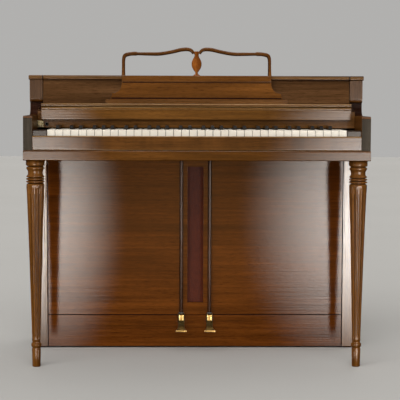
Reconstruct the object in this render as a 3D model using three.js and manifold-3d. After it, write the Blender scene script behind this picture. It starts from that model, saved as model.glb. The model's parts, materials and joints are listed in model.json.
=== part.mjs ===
// Console electronic piano with 64 keys, in millimetres.
// X runs along the keyboard to the right, Y from the player to the wall, Z up from the floor.
import * as THREE from 'three';
import { mergeVertices } from 'three/addons/utils/BufferGeometryUtils.js';
import Module from 'manifold-3d';

const wasm = await Module();
wasm.setup();

// Fits
const seatGap = 0.25;
const slideGap = 0.5;
const cutOverrun = 2;

// Steps on curved outlines and sides on round pieces
const curveSteps = 6;
const barSides = 16;
const hingeSides = 12;
const speakerSides = 28;
const jackSides = 20;

// Case, as wide as the keyboard, its end blocks and the arms
const naturalPitch = 23.5;
const naturalCount = 38;
const naturalGap = 1.1;
const keyBlockWidth = 41.7;
const armThickness = 27;
const caseDepth = 520;
const frontY = -caseDepth / 2;
const backY = caseDepth / 2;
const keyboardHalf = naturalCount * naturalPitch / 2;
const keyBlockInnerX = keyboardHalf + naturalGap / 2;
const keyBlockOuterX = keyBlockInnerX + keyBlockWidth;
const armInnerX = keyBlockOuterX + seatGap;
const halfWidth = armInnerX + armThickness;

// Keybed
const keybedUnderside = 623;
const keybedThickness = 30;
const keybedTop = keybedUnderside + keybedThickness;
const edgeRadius = 4;
const noseShare = 0.42;

// Back panel
const backPanelThickness = 5;
const backPanelInset = 5;
const ventCount = 7;
const ventLength = 120;
const ventHeight = 6;
const ventPitch = 22;
const panelBackY = backY - backPanelInset;
const sideBackY = panelBackY - backPanelThickness - seatGap;

// Arms and cheeks, one board on each side
const armSetback = 8;
const armTop = 755;
const armNoseRadius = 10;
const cheekSetback = 200;
const cheekFaceBottom = 808;
const cheekUndercut = 14;
const cheekSweep = 26;
const liningThickness = 12.5;
const armFrontY = frontY + armSetback;
const cheekFrontY = frontY + cheekSetback;
const liningInnerX = armInnerX - liningThickness;

// Lid and the parts round it
const lidTop = 878;
const lidThickness = 14;
const lidOverhang = 3;
const lidNose = 6;
const lidJointGap = 2;
const rearRailDepth = 22.5;
const lidUnderside = lidTop - lidThickness;
const caseTop = lidUnderside - seatGap;
const lidFrontY = cheekFrontY - lidNose + lidJointGap;
const lidHalf = liningInnerX - lidJointGap;
const rearRailFrontY = backY - rearRailDepth;
const lidRearY = rearRailFrontY - slideGap;

// Lid hinge
const hingeRadius = 1.7;
const hingeLift = 0.3;
const hingeLeafThickness = 1.2;
const hingeLeafWidth = 15;
const hingeAxisY = rearRailFrontY - slideGap;
const hingeAxisZ = lidTop + hingeLift + hingeRadius;
const hingeHalf = lidHalf - hingeLeafWidth;

// Key slip and keys
const keySlipSetback = 6;
const keySlipThickness = 14;
const keySlipTop = 696;
const keySlipBackGap = 4;
const naturalTop = 713.5;
const naturalThickness = 22.5;
const headLength = 50;
const sharpWidth = 12;
const sharpTopWidth = 9.5;
const sharpHeight = 12;
const sharpNoseSlope = 6;
const sharpClearance = 1;
const sharpRearGap = 4;
const stickLength = 272;
const balancePoint = 246;
const keyBottom = naturalTop - naturalThickness;
const keySlipFrontY = frontY + keySlipSetback;
const keyFrontY = keySlipFrontY + keySlipThickness + keySlipBackGap;
const balanceY = keyFrontY + balancePoint;
const stickRearY = keyFrontY + stickLength;
const sharpFrontY = keyFrontY + headLength;

// The octave whose keys move one by one, counted in naturals from the left
const octaveStart = 16;
const naturalsInOctave = 7;
const sharpCentreShares = [0.9, 2.1, 3.857, 5, 6.143];
const naturalNames = ['c', 'd', 'e', 'f', 'g', 'a', 'b'];
const sharpNames = ['c_sharp', 'd_sharp', 'f_sharp', 'g_sharp', 'a_sharp'];
const firstOctaveOffset = -5;

// Strips that hold the other keys together behind the nameboard
const combStripWidth = 10;
const combStripHeight = 8;
const combStripGap = 2;

// Key frame
const balanceRailLand = 8;
const balanceRailFoot = 24;
const keyRestGap = 0.3;
const frontRailTop = 677;
const frontRailWidth = 30;
const frontRailSetback = 12;
const backRailTop = 684;
const backRailWidth = 12;
const crossMemberHeight = 12;
const crossMemberWidth = 30;
const crossMemberShares = [-0.97, -0.35, 0.35, 0.97];

// Key blocks
const keyBlockTop = 713;
const keyBlockRadius = 3;

// Nameboard, fixed shelf and sliding fallboard
const nameboardThickness = 12;
const nameboardBottom = 717;
const nameboardTop = 768;
const nameboardSetback = 169;
const nameboardFrontY = frontY + nameboardSetback;
const lipBottom = 743;
const lipThickness = 10;
const lipNameboardGap = 3;
const fallboardThickness = 8;
const fallboardNose = 3;
const fallboardUnderside = 772;
const fallboardDepth = 203;
const shelfUnderside = 782;
const shelfThickness = 9;
const shelfNose = 3;
const shelfDepth = 90;
const shelfTop = shelfUnderside + shelfThickness;
const fallboardTop = fallboardUnderside + fallboardThickness;
const lipFrontY = nameboardFrontY - lipNameboardGap - lipThickness;
const fallboardFrontY = lipFrontY - fallboardNose;
const shelfFrontY = fallboardFrontY - shelfNose;
const shelfHalf = liningInnerX - seatGap;
const fallboardHalf = shelfHalf - slideGap;

// Runners that carry the fallboard, glued to the sides
const runnerWidth = 20;
const runnerHeight = 13;
const runnerLength = 208;
const runnerTop = fallboardUnderside - seatGap;
const runnerFrontY = nameboardFrontY + nameboardThickness + seatGap;
const runnerRearY = runnerFrontY + runnerLength;

// Upper front panel and music desk
const deskLean = THREE.MathUtils.degToRad(10);
const upperPanelThickness = 10;
const upperPanelSetback = 192;
const ledgeDepth = 36;
const ledgeThickness = 9;
const ledgeLip = 3;
const ledgeLipDepth = 5;
const scrollRadius = 7;
const deskThickness = 9;
const deskSetback = 172;
const deskBaseWidth = 532;
const deskShoulderWidth = 462;
const deskPanelHeight = 58;
const deskRailHeight = 18;
const deskRailProud = 2.5;
const deskFlareHeight = 22;
const deskFlareShare = 0.17;
const crestBarWidth = 9;
const crestHeight = 88;
const crestDipShare = 0.78;
const crestSamples = 64;
const ornamentWidth = 31;
const ornamentThickness = 11;
const upperPanelBaseY = frontY + upperPanelSetback;
const deskFrontY = frontY + deskSetback;
const ledgeHalf = deskBaseWidth / 2 + scrollRadius + seatGap;
const ornamentHeight = crestHeight * crestDipShare - crestBarWidth / 2 - seatGap;

// Legs
const legInset = 33;
const legSetback = 35;
const legCollarRadius = 28;
const fluteCount = 10;
const pointsPerFlute = 4;
const fluteDepthShare = 0.09;
const fluteShares = [0, 0.72, 1, 0.72];
const legHeight = keybedUnderside - seatGap;
const legX = halfWidth - legInset;
const legY = frontY + legSetback;
// Shares of the leg's height, of the collar's radius and of the flutes' full depth, from the floor up
const legStationShares = [
  [0, 0.4, 0], [0.008, 0.43, 0], [0.088, 0.48, 0], [0.094, 0.4, 0], [0.1, 0.5, 0],
  [0.108, 0.545, 0], [0.116, 0.5, 0], [0.121, 0.42, 0], [0.13, 0.44, 0], [0.15, 0.46, 1],
  [0.5, 0.66, 1], [0.855, 0.9, 1], [0.877, 0.94, 0.2], [0.884, 0.9, 0], [0.889, 0.78, 0],
  [0.893, 0.86, 0], [0.899, 0.88, 0], [0.904, 0.76, 0], [0.908, 0.85, 0], [0.914, 0.87, 0],
  [0.919, 0.75, 0], [0.924, 0.84, 0], [0.93, 0.74, 0], [0.95, 0.76, 0], [0.959, 0.9, 0],
  [0.966, 0.92, 0], [0.969, 0.86, 0], [0.973, 1, 0], [1, 1, 0],
];

// Lower case
const lowerSideThickness = 40;
const lowerCaseDepth = 174.75;
const baseClearance = 4;
const footStripWidth = 26;
const footStripInset = 10;
const lowerPanelThickness = 12;
const lowerPanelRecess = 2;
const plinthTop = 108;
const plinthThickness = 20;
const bottomBoardThickness = 12;
const bottomBoardLift = 12;
const lowerFrontY = sideBackY - lowerCaseDepth;
const lowerSideInnerX = halfWidth - lowerSideThickness;
const lowerPanelFrontY = lowerFrontY + lowerPanelRecess;
const lowerTop = keybedUnderside - seatGap;
const lowerBottom = baseClearance;
const bottomBoardTop = lowerBottom + bottomBoardLift + bottomBoardThickness;

// Grille in the middle
const grilleFrameHalf = 44.25;
const grilleOpeningHalf = 25.5;
const grilleOpeningBottom = 149;
const grilleOpeningTop = 588;
const grilleFrameThickness = 16;
const clothThickness = 1.5;
const clothMargin = 9;
const baffleThickness = 12;
const baffleHalf = 108;
const baffleMargin = 20;

// Speaker behind the grille
const speakerRadius = 102;
const speakerCentreZ = 370;
const speakerDepth = 72;
const speakerFlange = 10;
const speakerPlate = 3;
const magnetRadius = 45;
const magnetDepth = 22;
const conePocketRadius = 24;
const coneFloorThickness = 4;

// Pedals
const pedalSpacing = 91;
const pedalBossWidth = 22;
const pedalBossDepth = 32;
const pedalBossTop = 118;
const pedalBossHeight = 26;
const pedalNeckWidth = 20;
const pedalToeWidth = 35;
const pedalToeThickness = 8;
const pedalToeTop = 78;
const pedalReach = 110;
const toeShoulderShare = 0.25;
const pedalShankWidth = 14;
const pedalShankHeight = 12;
const pedalRodGap = 5;
const pivotBehindPlinth = 18;
const pivotHubRadius = 10;
const pivotPinRadius = 3.7;
const pivotClearance = 0.5;
const slotSideClearance = 2;
const slotBelowShank = 6;
const earThickness = 3;
const earClearance = 1;
const earDepth = 22;
const bracketPlate = 4;
const shankBottom = pedalBossTop - pedalBossHeight;
const shankTop = shankBottom + pedalShankHeight;
const pivotY = lowerPanelFrontY + plinthThickness + pivotBehindPlinth;
const pivotZ = shankBottom + pedalShankHeight / 2;
const bossRearY = lowerPanelFrontY - pedalRodGap;
const pedalToeFrontY = lowerFrontY - pedalReach;

// Pedal rods
const rodRadius = 6;
const rodHoleClearance = 1.5;
const rodTop = 668;
const rodY = bossRearY - rodRadius;
const rodBottom = pedalBossTop + slideGap;

// Hammer rail and reed bar
const railFootWidth = 14;
const railFootInset = 24.25;
const hammerRailSetback = 44;
const hammerRailDepth = 20;
const hammerRailBottom = 718;
const hammerRailHeight = 14;
const hammerReach = 40;
const hammerWidth = 7;
const hammerHeight = 6;
const reedBarGap = 12;
const reedBarDepth = 26;
const reedBarBottom = 744;
const reedBarHeight = 9;
const reedLongest = 46;
const reedShortest = 18;
const reedWidth = 5;
const reedThickness = 2;
const keyCount = 64;
const hammerRailY = stickRearY + hammerRailSetback;
const reedBarY = hammerRailY + hammerRailDepth + reedBarGap;

// Amplifier, transformer and cord gland
const amplifierWidth = 240;
const amplifierDepth = 95;
const amplifierHeight = 58;
const amplifierSideGap = 138;
const amplifierRearGap = 18;
const finCount = 9;
const finHeight = 14;
const finThickness = 3;
const transformerWidth = 72;
const transformerDepth = 56;
const transformerHeight = 60;
const transformerInset = 8;
const windingProud = 12;
const glandInset = 40;
const glandHeight = 62;
const glandFlangeRadius = 11;
const glandNeckRadius = 8;
const glandBoreRadius = 3.5;
const glandFlangeThickness = 3;
const amplifierX = -lowerSideInnerX + amplifierSideGap;
const glandX = amplifierX + glandInset;
const glandZ = lowerBottom + glandHeight;

// Controls at the left end of the nameboard
const controlPlateWidth = 18;
const controlPlateHeight = 20;
const controlPlateThickness = 2;
const controlPlateBottom = 718;
const knobRadius = 7;
const knobLength = 10;
const knobRibs = 14;
const knobRibShare = 0.08;
const jackSpacing = 18.75;
const jackRadius = 6;
const jackBoreRadius = 3.3;
const jackLength = 22;
const jackProud = 2.5;
const jackBarrelRadius = 4.8;
const controlPlateX = -keyBlockOuterX;
const controlPlateFrontY = nameboardFrontY - seatGap - controlPlateThickness;
const knobX = controlPlateX + controlPlateWidth / 2;
const knobZ = controlPlateBottom + controlPlateHeight / 2;
const jackX = knobX + jackSpacing;

// Finishes
function finish(colour, roughness, metalness) {
  return new THREE.MeshStandardMaterial({ color: colour, roughness, metalness });
}
const walnut = finish(0x5a3a22, 0.32, 0);
const walnutDark = finish(0x3d2415, 0.35, 0);
const naturalPlastic = finish(0xeee6d2, 0.25, 0);
const sharpPlastic = finish(0x17130f, 0.3, 0);
const brass = finish(0xb89a4c, 0.28, 1);
const steel = finish(0x8d8f90, 0.4, 1);
const nickel = finish(0xb9b6ae, 0.25, 1);
const grilleCloth = finish(0x4a1e17, 0.9, 0);
const hardboard = finish(0x6b4c30, 0.8, 0);
const spruce = finish(0xc3a273, 0.6, 0);
const blackPaper = finish(0x201d1b, 0.85, 0);
const creamPlastic = finish(0xcfc39c, 0.4, 0);
const blackRubber = finish(0x151515, 0.7, 0);

const piano = new THREE.Group();

function addPiece(name, geometry, material, parent = piano) {
  const mesh = new THREE.Mesh(geometry, material);
  mesh.name = name;
  parent.add(mesh);
  return mesh;
}

// Solids joined and cut
function toSolid(geometry) {
  const bare = geometry.clone();
  bare.deleteAttribute('normal');
  bare.deleteAttribute('uv');
  const merged = mergeVertices(bare);
  return new wasm.Manifold(new wasm.Mesh({
    numProp: 3,
    vertProperties: merged.attributes.position.array,
    triVerts: new Uint32Array(merged.index.array),
  }));
}

function toGeometry(solid) {
  const mesh = solid.getMesh();
  const geometry = new THREE.BufferGeometry();
  geometry.setAttribute('position', new THREE.BufferAttribute(mesh.vertProperties, 3));
  geometry.setIndex(new THREE.BufferAttribute(mesh.triVerts, 1));
  return geometry;
}

function joined(...geometries) {
  return toGeometry(geometries.map(toSolid).reduce((sum, next) => sum.add(next)));
}

function cutBy(geometry, ...tools) {
  return toGeometry(tools.map(toSolid).reduce((rest, tool) => rest.subtract(tool), toSolid(geometry)));
}

// Shapes placed by their limits
function span(one, other) {
  return [Math.min(one, other), Math.max(one, other)];
}

function block([x0, x1], [y0, y1], [z0, z1]) {
  const geometry = new THREE.BoxGeometry(x1 - x0, y1 - y0, z1 - z0);
  return geometry.translate((x0 + x1) / 2, (y0 + y1) / 2, (z0 + z1) / 2);
}

function extruded(shape, length) {
  return new THREE.ExtrudeGeometry(
    shape, { depth: length, bevelEnabled: false, curveSegments: curveSteps });
}

// A section drawn in Y and Z, run from x0 to x1
function alongX(shape, x0, x1) {
  const geometry = extruded(shape, x1 - x0);
  const turn = new THREE.Matrix4().makeBasis(
    new THREE.Vector3(0, 1, 0), new THREE.Vector3(0, 0, 1), new THREE.Vector3(1, 0, 0));
  return geometry.applyMatrix4(turn).translate(x0, 0, 0);
}

// An outline drawn in X and Z, run from y0 back to y1
function alongY(shape, y0, y1) {
  const geometry = extruded(shape, y1 - y0);
  return geometry.rotateX(Math.PI / 2).translate(0, y1, 0);
}

// An outline drawn in X and Y, run from z0 up to z1
function upward(shape, z0, z1) {
  return extruded(shape, z1 - z0).translate(0, 0, z0);
}

function polygon(points) {
  return new THREE.Shape(points.map(([across, up]) => new THREE.Vector2(across, up)));
}

// A rectangle whose front corners are rounded; front is the low end of its first axis
function roundedNose([a0, a1], [b0, b1], radius) {
  const shape = new THREE.Shape();
  shape.moveTo(a1, b0);
  shape.lineTo(a1, b1);
  shape.lineTo(a0 + radius, b1);
  shape.absarc(a0 + radius, b1 - radius, radius, Math.PI / 2, Math.PI, false);
  shape.absarc(a0 + radius, b0 + radius, radius, Math.PI, 1.5 * Math.PI, false);
  shape.closePath();
  return shape;
}

// A block that narrows from its lower rectangle to its upper one
function taperedBlock(lower, upper) {
  const corners = [lower, upper].flatMap(({ x, y, z }) => [
    [x[0], y[0], z], [x[1], y[0], z], [x[1], y[1], z], [x[0], y[1], z],
  ]);
  const faces = [
    0, 2, 1, 0, 3, 2, 4, 5, 6, 4, 6, 7, 0, 1, 5, 0, 5, 4,
    1, 2, 6, 1, 6, 5, 2, 3, 7, 2, 7, 6, 3, 0, 4, 3, 4, 7,
  ];
  const geometry = new THREE.BufferGeometry();
  geometry.setAttribute('position', new THREE.Float32BufferAttribute(corners.flat(), 3));
  geometry.setIndex(faces);
  return geometry;
}

// A rod or bore along X, Y or Z
function roundBar(axis, radius, length, centre, sides = barSides) {
  const geometry = new THREE.CylinderGeometry(radius, radius, length, sides);
  if (axis === 'x') {
    geometry.rotateZ(Math.PI / 2);
  }
  if (axis === 'z') {
    geometry.rotateX(Math.PI / 2);
  }
  return geometry.translate(...centre);
}

// Wooden case
function keybed() {
  const board = alongX(
    roundedNose([frontY, sideBackY], [keybedUnderside, keybedTop], edgeRadius), -halfWidth, halfWidth);
  const holes = [-1, 1].map((side) => roundBar(
    'z', rodRadius + rodHoleClearance, keybedThickness + 2 * cutOverrun,
    [side * pedalSpacing / 2, rodY, keybedUnderside + keybedThickness / 2]));
  return cutBy(board, ...holes);
}

function keySlip() {
  const section = roundedNose(
    [keySlipFrontY, keySlipFrontY + keySlipThickness], [keybedTop + seatGap, keySlipTop], edgeRadius);
  return alongX(section, -keyBlockOuterX, keyBlockOuterX);
}

function cheekSection(bottom) {
  const shape = new THREE.Shape();
  shape.moveTo(sideBackY, bottom);
  shape.lineTo(sideBackY, caseTop);
  shape.lineTo(cheekFrontY, caseTop);
  shape.lineTo(cheekFrontY, cheekFaceBottom);
  shape.absarc(
    cheekFrontY + cheekUndercut, cheekFaceBottom, cheekUndercut, Math.PI, 1.5 * Math.PI, false);
  return shape;
}

function armBoard(x0, x1) {
  const bottom = keybedTop + seatGap;
  const sweepY = cheekFrontY + cheekUndercut;
  const shape = cheekSection(bottom);
  shape.lineTo(sweepY, armTop + cheekSweep);
  shape.absarc(sweepY - cheekSweep, armTop + cheekSweep, cheekSweep, 0, 1.5 * Math.PI, true);
  shape.lineTo(armFrontY + armNoseRadius, armTop);
  shape.absarc(
    armFrontY + armNoseRadius, armTop - armNoseRadius, armNoseRadius, Math.PI / 2, Math.PI, false);
  shape.lineTo(armFrontY, bottom);
  shape.closePath();
  return alongX(shape, x0, x1);
}

function cheekLining(x0, x1) {
  const bottom = runnerTop - runnerHeight;
  const shape = cheekSection(bottom);
  shape.lineTo(cheekFrontY + cheekUndercut, bottom);
  shape.closePath();
  return alongX(shape, x0, x1);
}

function upperSide(side) {
  const runner = block(
    span(side * (liningInnerX - runnerWidth), side * (armInnerX + cutOverrun)),
    [runnerFrontY, runnerRearY],
    [runnerTop - runnerHeight, runnerTop]);
  return joined(
    armBoard(...span(side * armInnerX, side * halfWidth)),
    cheekLining(...span(side * liningInnerX, side * (armInnerX + cutOverrun))),
    runner);
}

function lowerSide(side) {
  const middle = side * (halfWidth + lowerSideInnerX) / 2;
  const board = block(
    [middle - lowerSideThickness / 2, middle + lowerSideThickness / 2],
    [lowerFrontY, sideBackY],
    [lowerBottom, lowerTop]);
  const foot = block(
    [middle - footStripWidth / 2, middle + footStripWidth / 2],
    [lowerFrontY + footStripInset, sideBackY - footStripInset],
    [0, lowerBottom + cutOverrun]);
  return joined(board, foot);
}

function lidBoard(x0, x1, y1) {
  return alongX(roundedNose([lidFrontY, y1], [lidUnderside, lidTop], lidThickness * noseShare), x0, x1);
}

function lidEnd(side) {
  const outer = halfWidth + lidOverhang;
  const inner = liningInnerX + seatGap;
  return lidBoard(...span(side * inner, side * outer), backY);
}

function lidRearRail() {
  const half = liningInnerX;
  return block([-half, half], [rearRailFrontY, backY], [lidUnderside, lidTop]);
}

function lidHinge() {
  const barrel = roundBar(
    'x', hingeRadius, 2 * hingeHalf, [0, hingeAxisY, hingeAxisZ], hingeSides);
  const leaf = block(
    [-hingeHalf, hingeHalf],
    [hingeAxisY, hingeAxisY + hingeLeafWidth],
    [lidTop + seatGap, lidTop + seatGap + hingeLeafThickness]);
  return joined(barrel, leaf);
}

function backPanel() {
  const board = block(
    [-halfWidth + seatGap, halfWidth - seatGap],
    [sideBackY + seatGap, panelBackY],
    [lowerBottom + bottomBoardLift / 2, caseTop - seatGap]);
  const vents = [];
  for (const side of [-1, 1]) {
    for (let row = 0; row < ventCount; row += 1) {
      const x = side * halfWidth / 2;
      const z = speakerCentreZ + (row - (ventCount - 1) / 2) * ventPitch;
      vents.push(block(
        [x - ventLength / 2, x + ventLength / 2],
        [sideBackY - cutOverrun, panelBackY + cutOverrun],
        [z - ventHeight / 2, z + ventHeight / 2]));
    }
  }
  const glandHole = roundBar(
    'y', glandNeckRadius + seatGap, backPanelThickness + 2 * cutOverrun,
    [glandX, panelBackY - backPanelThickness / 2, glandZ]);
  return cutBy(board, ...vents, glandHole);
}

// Nameboard, shelf and sliding fallboard
function nameboard() {
  return block(
    [-keyBlockOuterX, keyBlockOuterX],
    [nameboardFrontY, nameboardFrontY + nameboardThickness],
    [nameboardBottom, nameboardTop]);
}

function fixedShelf() {
  const section = roundedNose(
    [shelfFrontY, shelfFrontY + shelfDepth], [shelfUnderside, shelfTop], shelfThickness * noseShare);
  return alongX(section, -shelfHalf, shelfHalf);
}

function fallboard() {
  const board = alongX(
    roundedNose(
      [fallboardFrontY, fallboardFrontY + fallboardDepth],
      [fallboardUnderside, fallboardTop],
      fallboardThickness * noseShare),
    -fallboardHalf, fallboardHalf);
  const lip = block(
    [-fallboardHalf, fallboardHalf],
    [lipFrontY, lipFrontY + lipThickness],
    [lipBottom, fallboardUnderside + fallboardThickness / 2]);
  return joined(board, lip);
}

// The lifting top: sloped panel, ledge and music desk
function upperFrontPanel() {
  const bottom = shelfTop + slideGap;
  const top = lidUnderside - seatGap;
  const shift = (top - bottom) * Math.tan(deskLean);
  return alongX(
    polygon([
      [upperPanelBaseY, bottom],
      [upperPanelBaseY + upperPanelThickness, bottom],
      [upperPanelBaseY + upperPanelThickness + shift, top],
      [upperPanelBaseY + shift, top],
    ]),
    -lidHalf, lidHalf);
}

function deskLedge() {
  const bottom = shelfTop + slideGap;
  const rear = upperPanelBaseY - seatGap;
  const front = rear - ledgeDepth;
  const shelf = block([-ledgeHalf, ledgeHalf], [front, rear], [bottom, bottom + ledgeThickness]);
  const lip = block(
    [-ledgeHalf, ledgeHalf], [front, front + ledgeLipDepth], [bottom, bottom + ledgeThickness + ledgeLip]);
  const scrolls = [-1, 1].map((side) => roundBar(
    'y', scrollRadius, ledgeDepth, [side * ledgeHalf, (front + rear) / 2, bottom + scrollRadius]));
  return joined(shelf, lip, ...scrolls);
}

// The desk's own outline, in X and in height along its slope
function deskPanel() {
  const base = deskBaseWidth / 2;
  const shoulder = deskShoulderWidth / 2;
  const flare = base - (base - shoulder) * deskFlareShare;
  const outline = new THREE.Shape();
  outline.moveTo(-base, 0);
  outline.lineTo(base, 0);
  outline.lineTo(flare, deskFlareHeight);
  outline.quadraticCurveTo(shoulder, deskFlareHeight, shoulder, deskPanelHeight);
  outline.lineTo(-shoulder, deskPanelHeight);
  outline.quadraticCurveTo(-shoulder, deskFlareHeight, -flare, deskFlareHeight);
  outline.closePath();
  const panel = alongY(outline, 0, deskThickness);
  const rail = block(
    [-shoulder, shoulder],
    [-deskRailProud, deskThickness],
    [deskPanelHeight, deskPanelHeight + deskRailHeight]);
  return joined(panel, rail);
}

// Half of the crest's middle line, from the post to the centre, in shares of its half width and height
const crestPathShares = [
  [1, 0], [1, 0.35], [0.998, 0.62], [0.975, 0.745], [0.9, 0.79], [0.78, 0.81], [0.64, 0.79], [0.5, 0.795],
  [0.34, 0.865], [0.22, 0.94], [0.14, 0.955], [0.075, 0.86], [0.03, 0.79], [0, crestDipShare],
];

function crestMiddleLine() {
  const half = (deskShoulderWidth - crestBarWidth) / 2;
  const place = (side) => ([across, up]) => new THREE.Vector3(side * across * half, up * crestHeight, 0);
  const left = crestPathShares.map(place(-1));
  const right = crestPathShares.slice(0, -1).reverse().map(place(1));
  return new THREE.CatmullRomCurve3([...left, ...right], false, 'centripetal');
}

function deskCrest() {
  const path = crestMiddleLine();
  const upperEdge = [];
  const lowerEdge = [];
  for (let step = 0; step <= crestSamples; step += 1) {
    const share = step / crestSamples;
    const point = path.getPointAt(share);
    const tangent = path.getTangentAt(share);
    const offset = new THREE.Vector2(-tangent.y, tangent.x).multiplyScalar(crestBarWidth / 2);
    upperEdge.push(new THREE.Vector2(point.x + offset.x, point.y + offset.y));
    lowerEdge.push(new THREE.Vector2(point.x - offset.x, point.y - offset.y));
  }
  return alongY(new THREE.Shape([...upperEdge, ...lowerEdge.reverse()]), 0, deskThickness);
}

// Half of the leaf ornament's outline, in shares of its half width and height
const ornamentOutlineShares = [
  [0.85, 0], [0.6, 0.05], [0.3, 0.1], [0.25, 0.17], [0.5, 0.25], [0.85, 0.42], [1, 0.62], [0.92, 0.77],
  [0.6, 0.9], [0.25, 1],
];

function deskOrnament() {
  const half = ornamentWidth / 2;
  const right = ornamentOutlineShares.map(([across, up]) => [across * half, up * ornamentHeight]);
  const left = right.map(([across, up]) => [-across, up]).reverse();
  const front = (deskThickness - ornamentThickness) / 2;
  return alongY(polygon([...right, ...left]), front, front + ornamentThickness);
}

function musicDesk() {
  const desk = new THREE.Group();
  const heelDrop = deskThickness * Math.sin(deskLean);
  desk.position.set(0, deskFrontY, shelfTop + slideGap + ledgeThickness + seatGap + heelDrop);
  desk.rotation.x = -deskLean;
  const railTop = deskPanelHeight + deskRailHeight;
  addPiece('desk_panel', deskPanel(), walnut, desk);
  addPiece('desk_crest', deskCrest(), walnut, desk).position.z = railTop + seatGap;
  addPiece('desk_ornament', deskOrnament(), walnut, desk).position.z = railTop + seatGap;
  return desk;
}

// Turned and fluted leg
function legGeometry() {
  const around = fluteCount * pointsPerFlute;
  const positions = [];
  for (const [heightShare, radiusShare, flute] of legStationShares) {
    for (let step = 0; step < around; step += 1) {
      const depth = flute * fluteDepthShare * fluteShares[step % pointsPerFlute];
      const radius = legCollarRadius * radiusShare * (1 - depth);
      const angle = 2 * Math.PI * step / around;
      positions.push(radius * Math.cos(angle), radius * Math.sin(angle), heightShare * legHeight);
    }
  }
  const rings = legStationShares.length;
  const foot = positions.length / 3;
  positions.push(0, 0, 0, 0, 0, legHeight);
  const faces = [];
  for (let step = 0; step < around; step += 1) {
    const next = (step + 1) % around;
    for (let ring = 0; ring < rings - 1; ring += 1) {
      const low = ring * around;
      const high = low + around;
      faces.push(low + step, low + next, high + next, low + step, high + next, high + step);
    }
    const last = (rings - 1) * around;
    faces.push(foot, next, step, foot + 1, last + step, last + next);
  }
  const geometry = new THREE.BufferGeometry();
  geometry.setAttribute('position', new THREE.Float32BufferAttribute(positions, 3));
  geometry.setIndex(faces);
  return geometry;
}

// Lower case
function plinthRail() {
  const half = lowerSideInnerX - seatGap;
  const rail = block(
    [-half, half], [lowerPanelFrontY, lowerPanelFrontY + plinthThickness], [lowerBottom, plinthTop]);
  const slotHalf = pedalShankWidth / 2 + slotSideClearance;
  const slots = [-1, 1].map((side) => block(
    [side * pedalSpacing / 2 - slotHalf, side * pedalSpacing / 2 + slotHalf],
    [lowerPanelFrontY - cutOverrun, lowerPanelFrontY + plinthThickness + cutOverrun],
    [shankBottom - slotBelowShank, plinthTop + cutOverrun]));
  return cutBy(rail, ...slots);
}

function lowerPanel(side) {
  const inner = grilleFrameHalf + seatGap;
  const outer = lowerSideInnerX - seatGap;
  return block(
    span(side * inner, side * outer),
    [lowerPanelFrontY, lowerPanelFrontY + lowerPanelThickness],
    [plinthTop + seatGap, lowerTop]);
}

function bottomBoard() {
  const half = lowerSideInnerX - seatGap;
  return block(
    [-half, half],
    [lowerPanelFrontY + plinthThickness + seatGap, sideBackY],
    [bottomBoardTop - bottomBoardThickness, bottomBoardTop]);
}

const clothFrontY = lowerFrontY + grilleFrameThickness + seatGap;
const baffleFrontY = clothFrontY + clothThickness + seatGap;

function grilleFrame() {
  const front = block(
    [-grilleFrameHalf, grilleFrameHalf],
    [lowerFrontY, lowerFrontY + grilleFrameThickness],
    [plinthTop + seatGap, lowerTop]);
  const clothHalf = grilleOpeningHalf + clothMargin;
  const spacers = [-1, 1].map((side) => block(
    span(side * (clothHalf + seatGap), side * grilleFrameHalf),
    [lowerFrontY + grilleFrameThickness / 2, baffleFrontY + baffleThickness / 2],
    [speakerCentreZ - speakerRadius, speakerCentreZ + speakerRadius]));
  const baffle = block(
    [-baffleHalf, baffleHalf],
    [baffleFrontY, baffleFrontY + baffleThickness],
    [speakerCentreZ - speakerRadius - baffleMargin, speakerCentreZ + speakerRadius + baffleMargin]);
  const opening = block(
    [-grilleOpeningHalf, grilleOpeningHalf],
    [lowerFrontY - cutOverrun, lowerFrontY + grilleFrameThickness + cutOverrun],
    [grilleOpeningBottom, grilleOpeningTop]);
  const soundHole = block(
    [-grilleOpeningHalf, grilleOpeningHalf],
    [baffleFrontY - cutOverrun, baffleFrontY + baffleThickness + cutOverrun],
    [speakerCentreZ - speakerRadius + speakerFlange, speakerCentreZ + speakerRadius - speakerFlange]);
  return cutBy(joined(front, ...spacers, baffle), opening, soundHole);
}

function clothPanel() {
  const half = grilleOpeningHalf + clothMargin;
  return block(
    [-half, half],
    [clothFrontY, clothFrontY + clothThickness],
    [grilleOpeningBottom - clothMargin, grilleOpeningTop + clothMargin]);
}

// A section drawn as radius and distance back, turned about a line along Y
function turnedAboutY(profile, x, z, sides) {
  const points = profile.map(([radius, back]) => new THREE.Vector2(radius, back));
  return new THREE.LatheGeometry([...points, points[0]], sides).translate(x, 0, z);
}

function speaker() {
  const front = baffleFrontY + baffleThickness + seatGap;
  const coneRadius = speakerRadius - speakerFlange;
  return turnedAboutY([
    [0, front + speakerDepth - coneFloorThickness],
    [conePocketRadius, front + speakerDepth - coneFloorThickness],
    [coneRadius, front],
    [speakerRadius, front],
    [speakerRadius, front + speakerPlate],
    [coneRadius, front + speakerPlate + coneFloorThickness],
    [magnetRadius, front + speakerDepth],
    [magnetRadius, front + speakerDepth + magnetDepth],
    [0, front + speakerDepth + magnetDepth],
  ], 0, speakerCentreZ, speakerSides);
}

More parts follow.
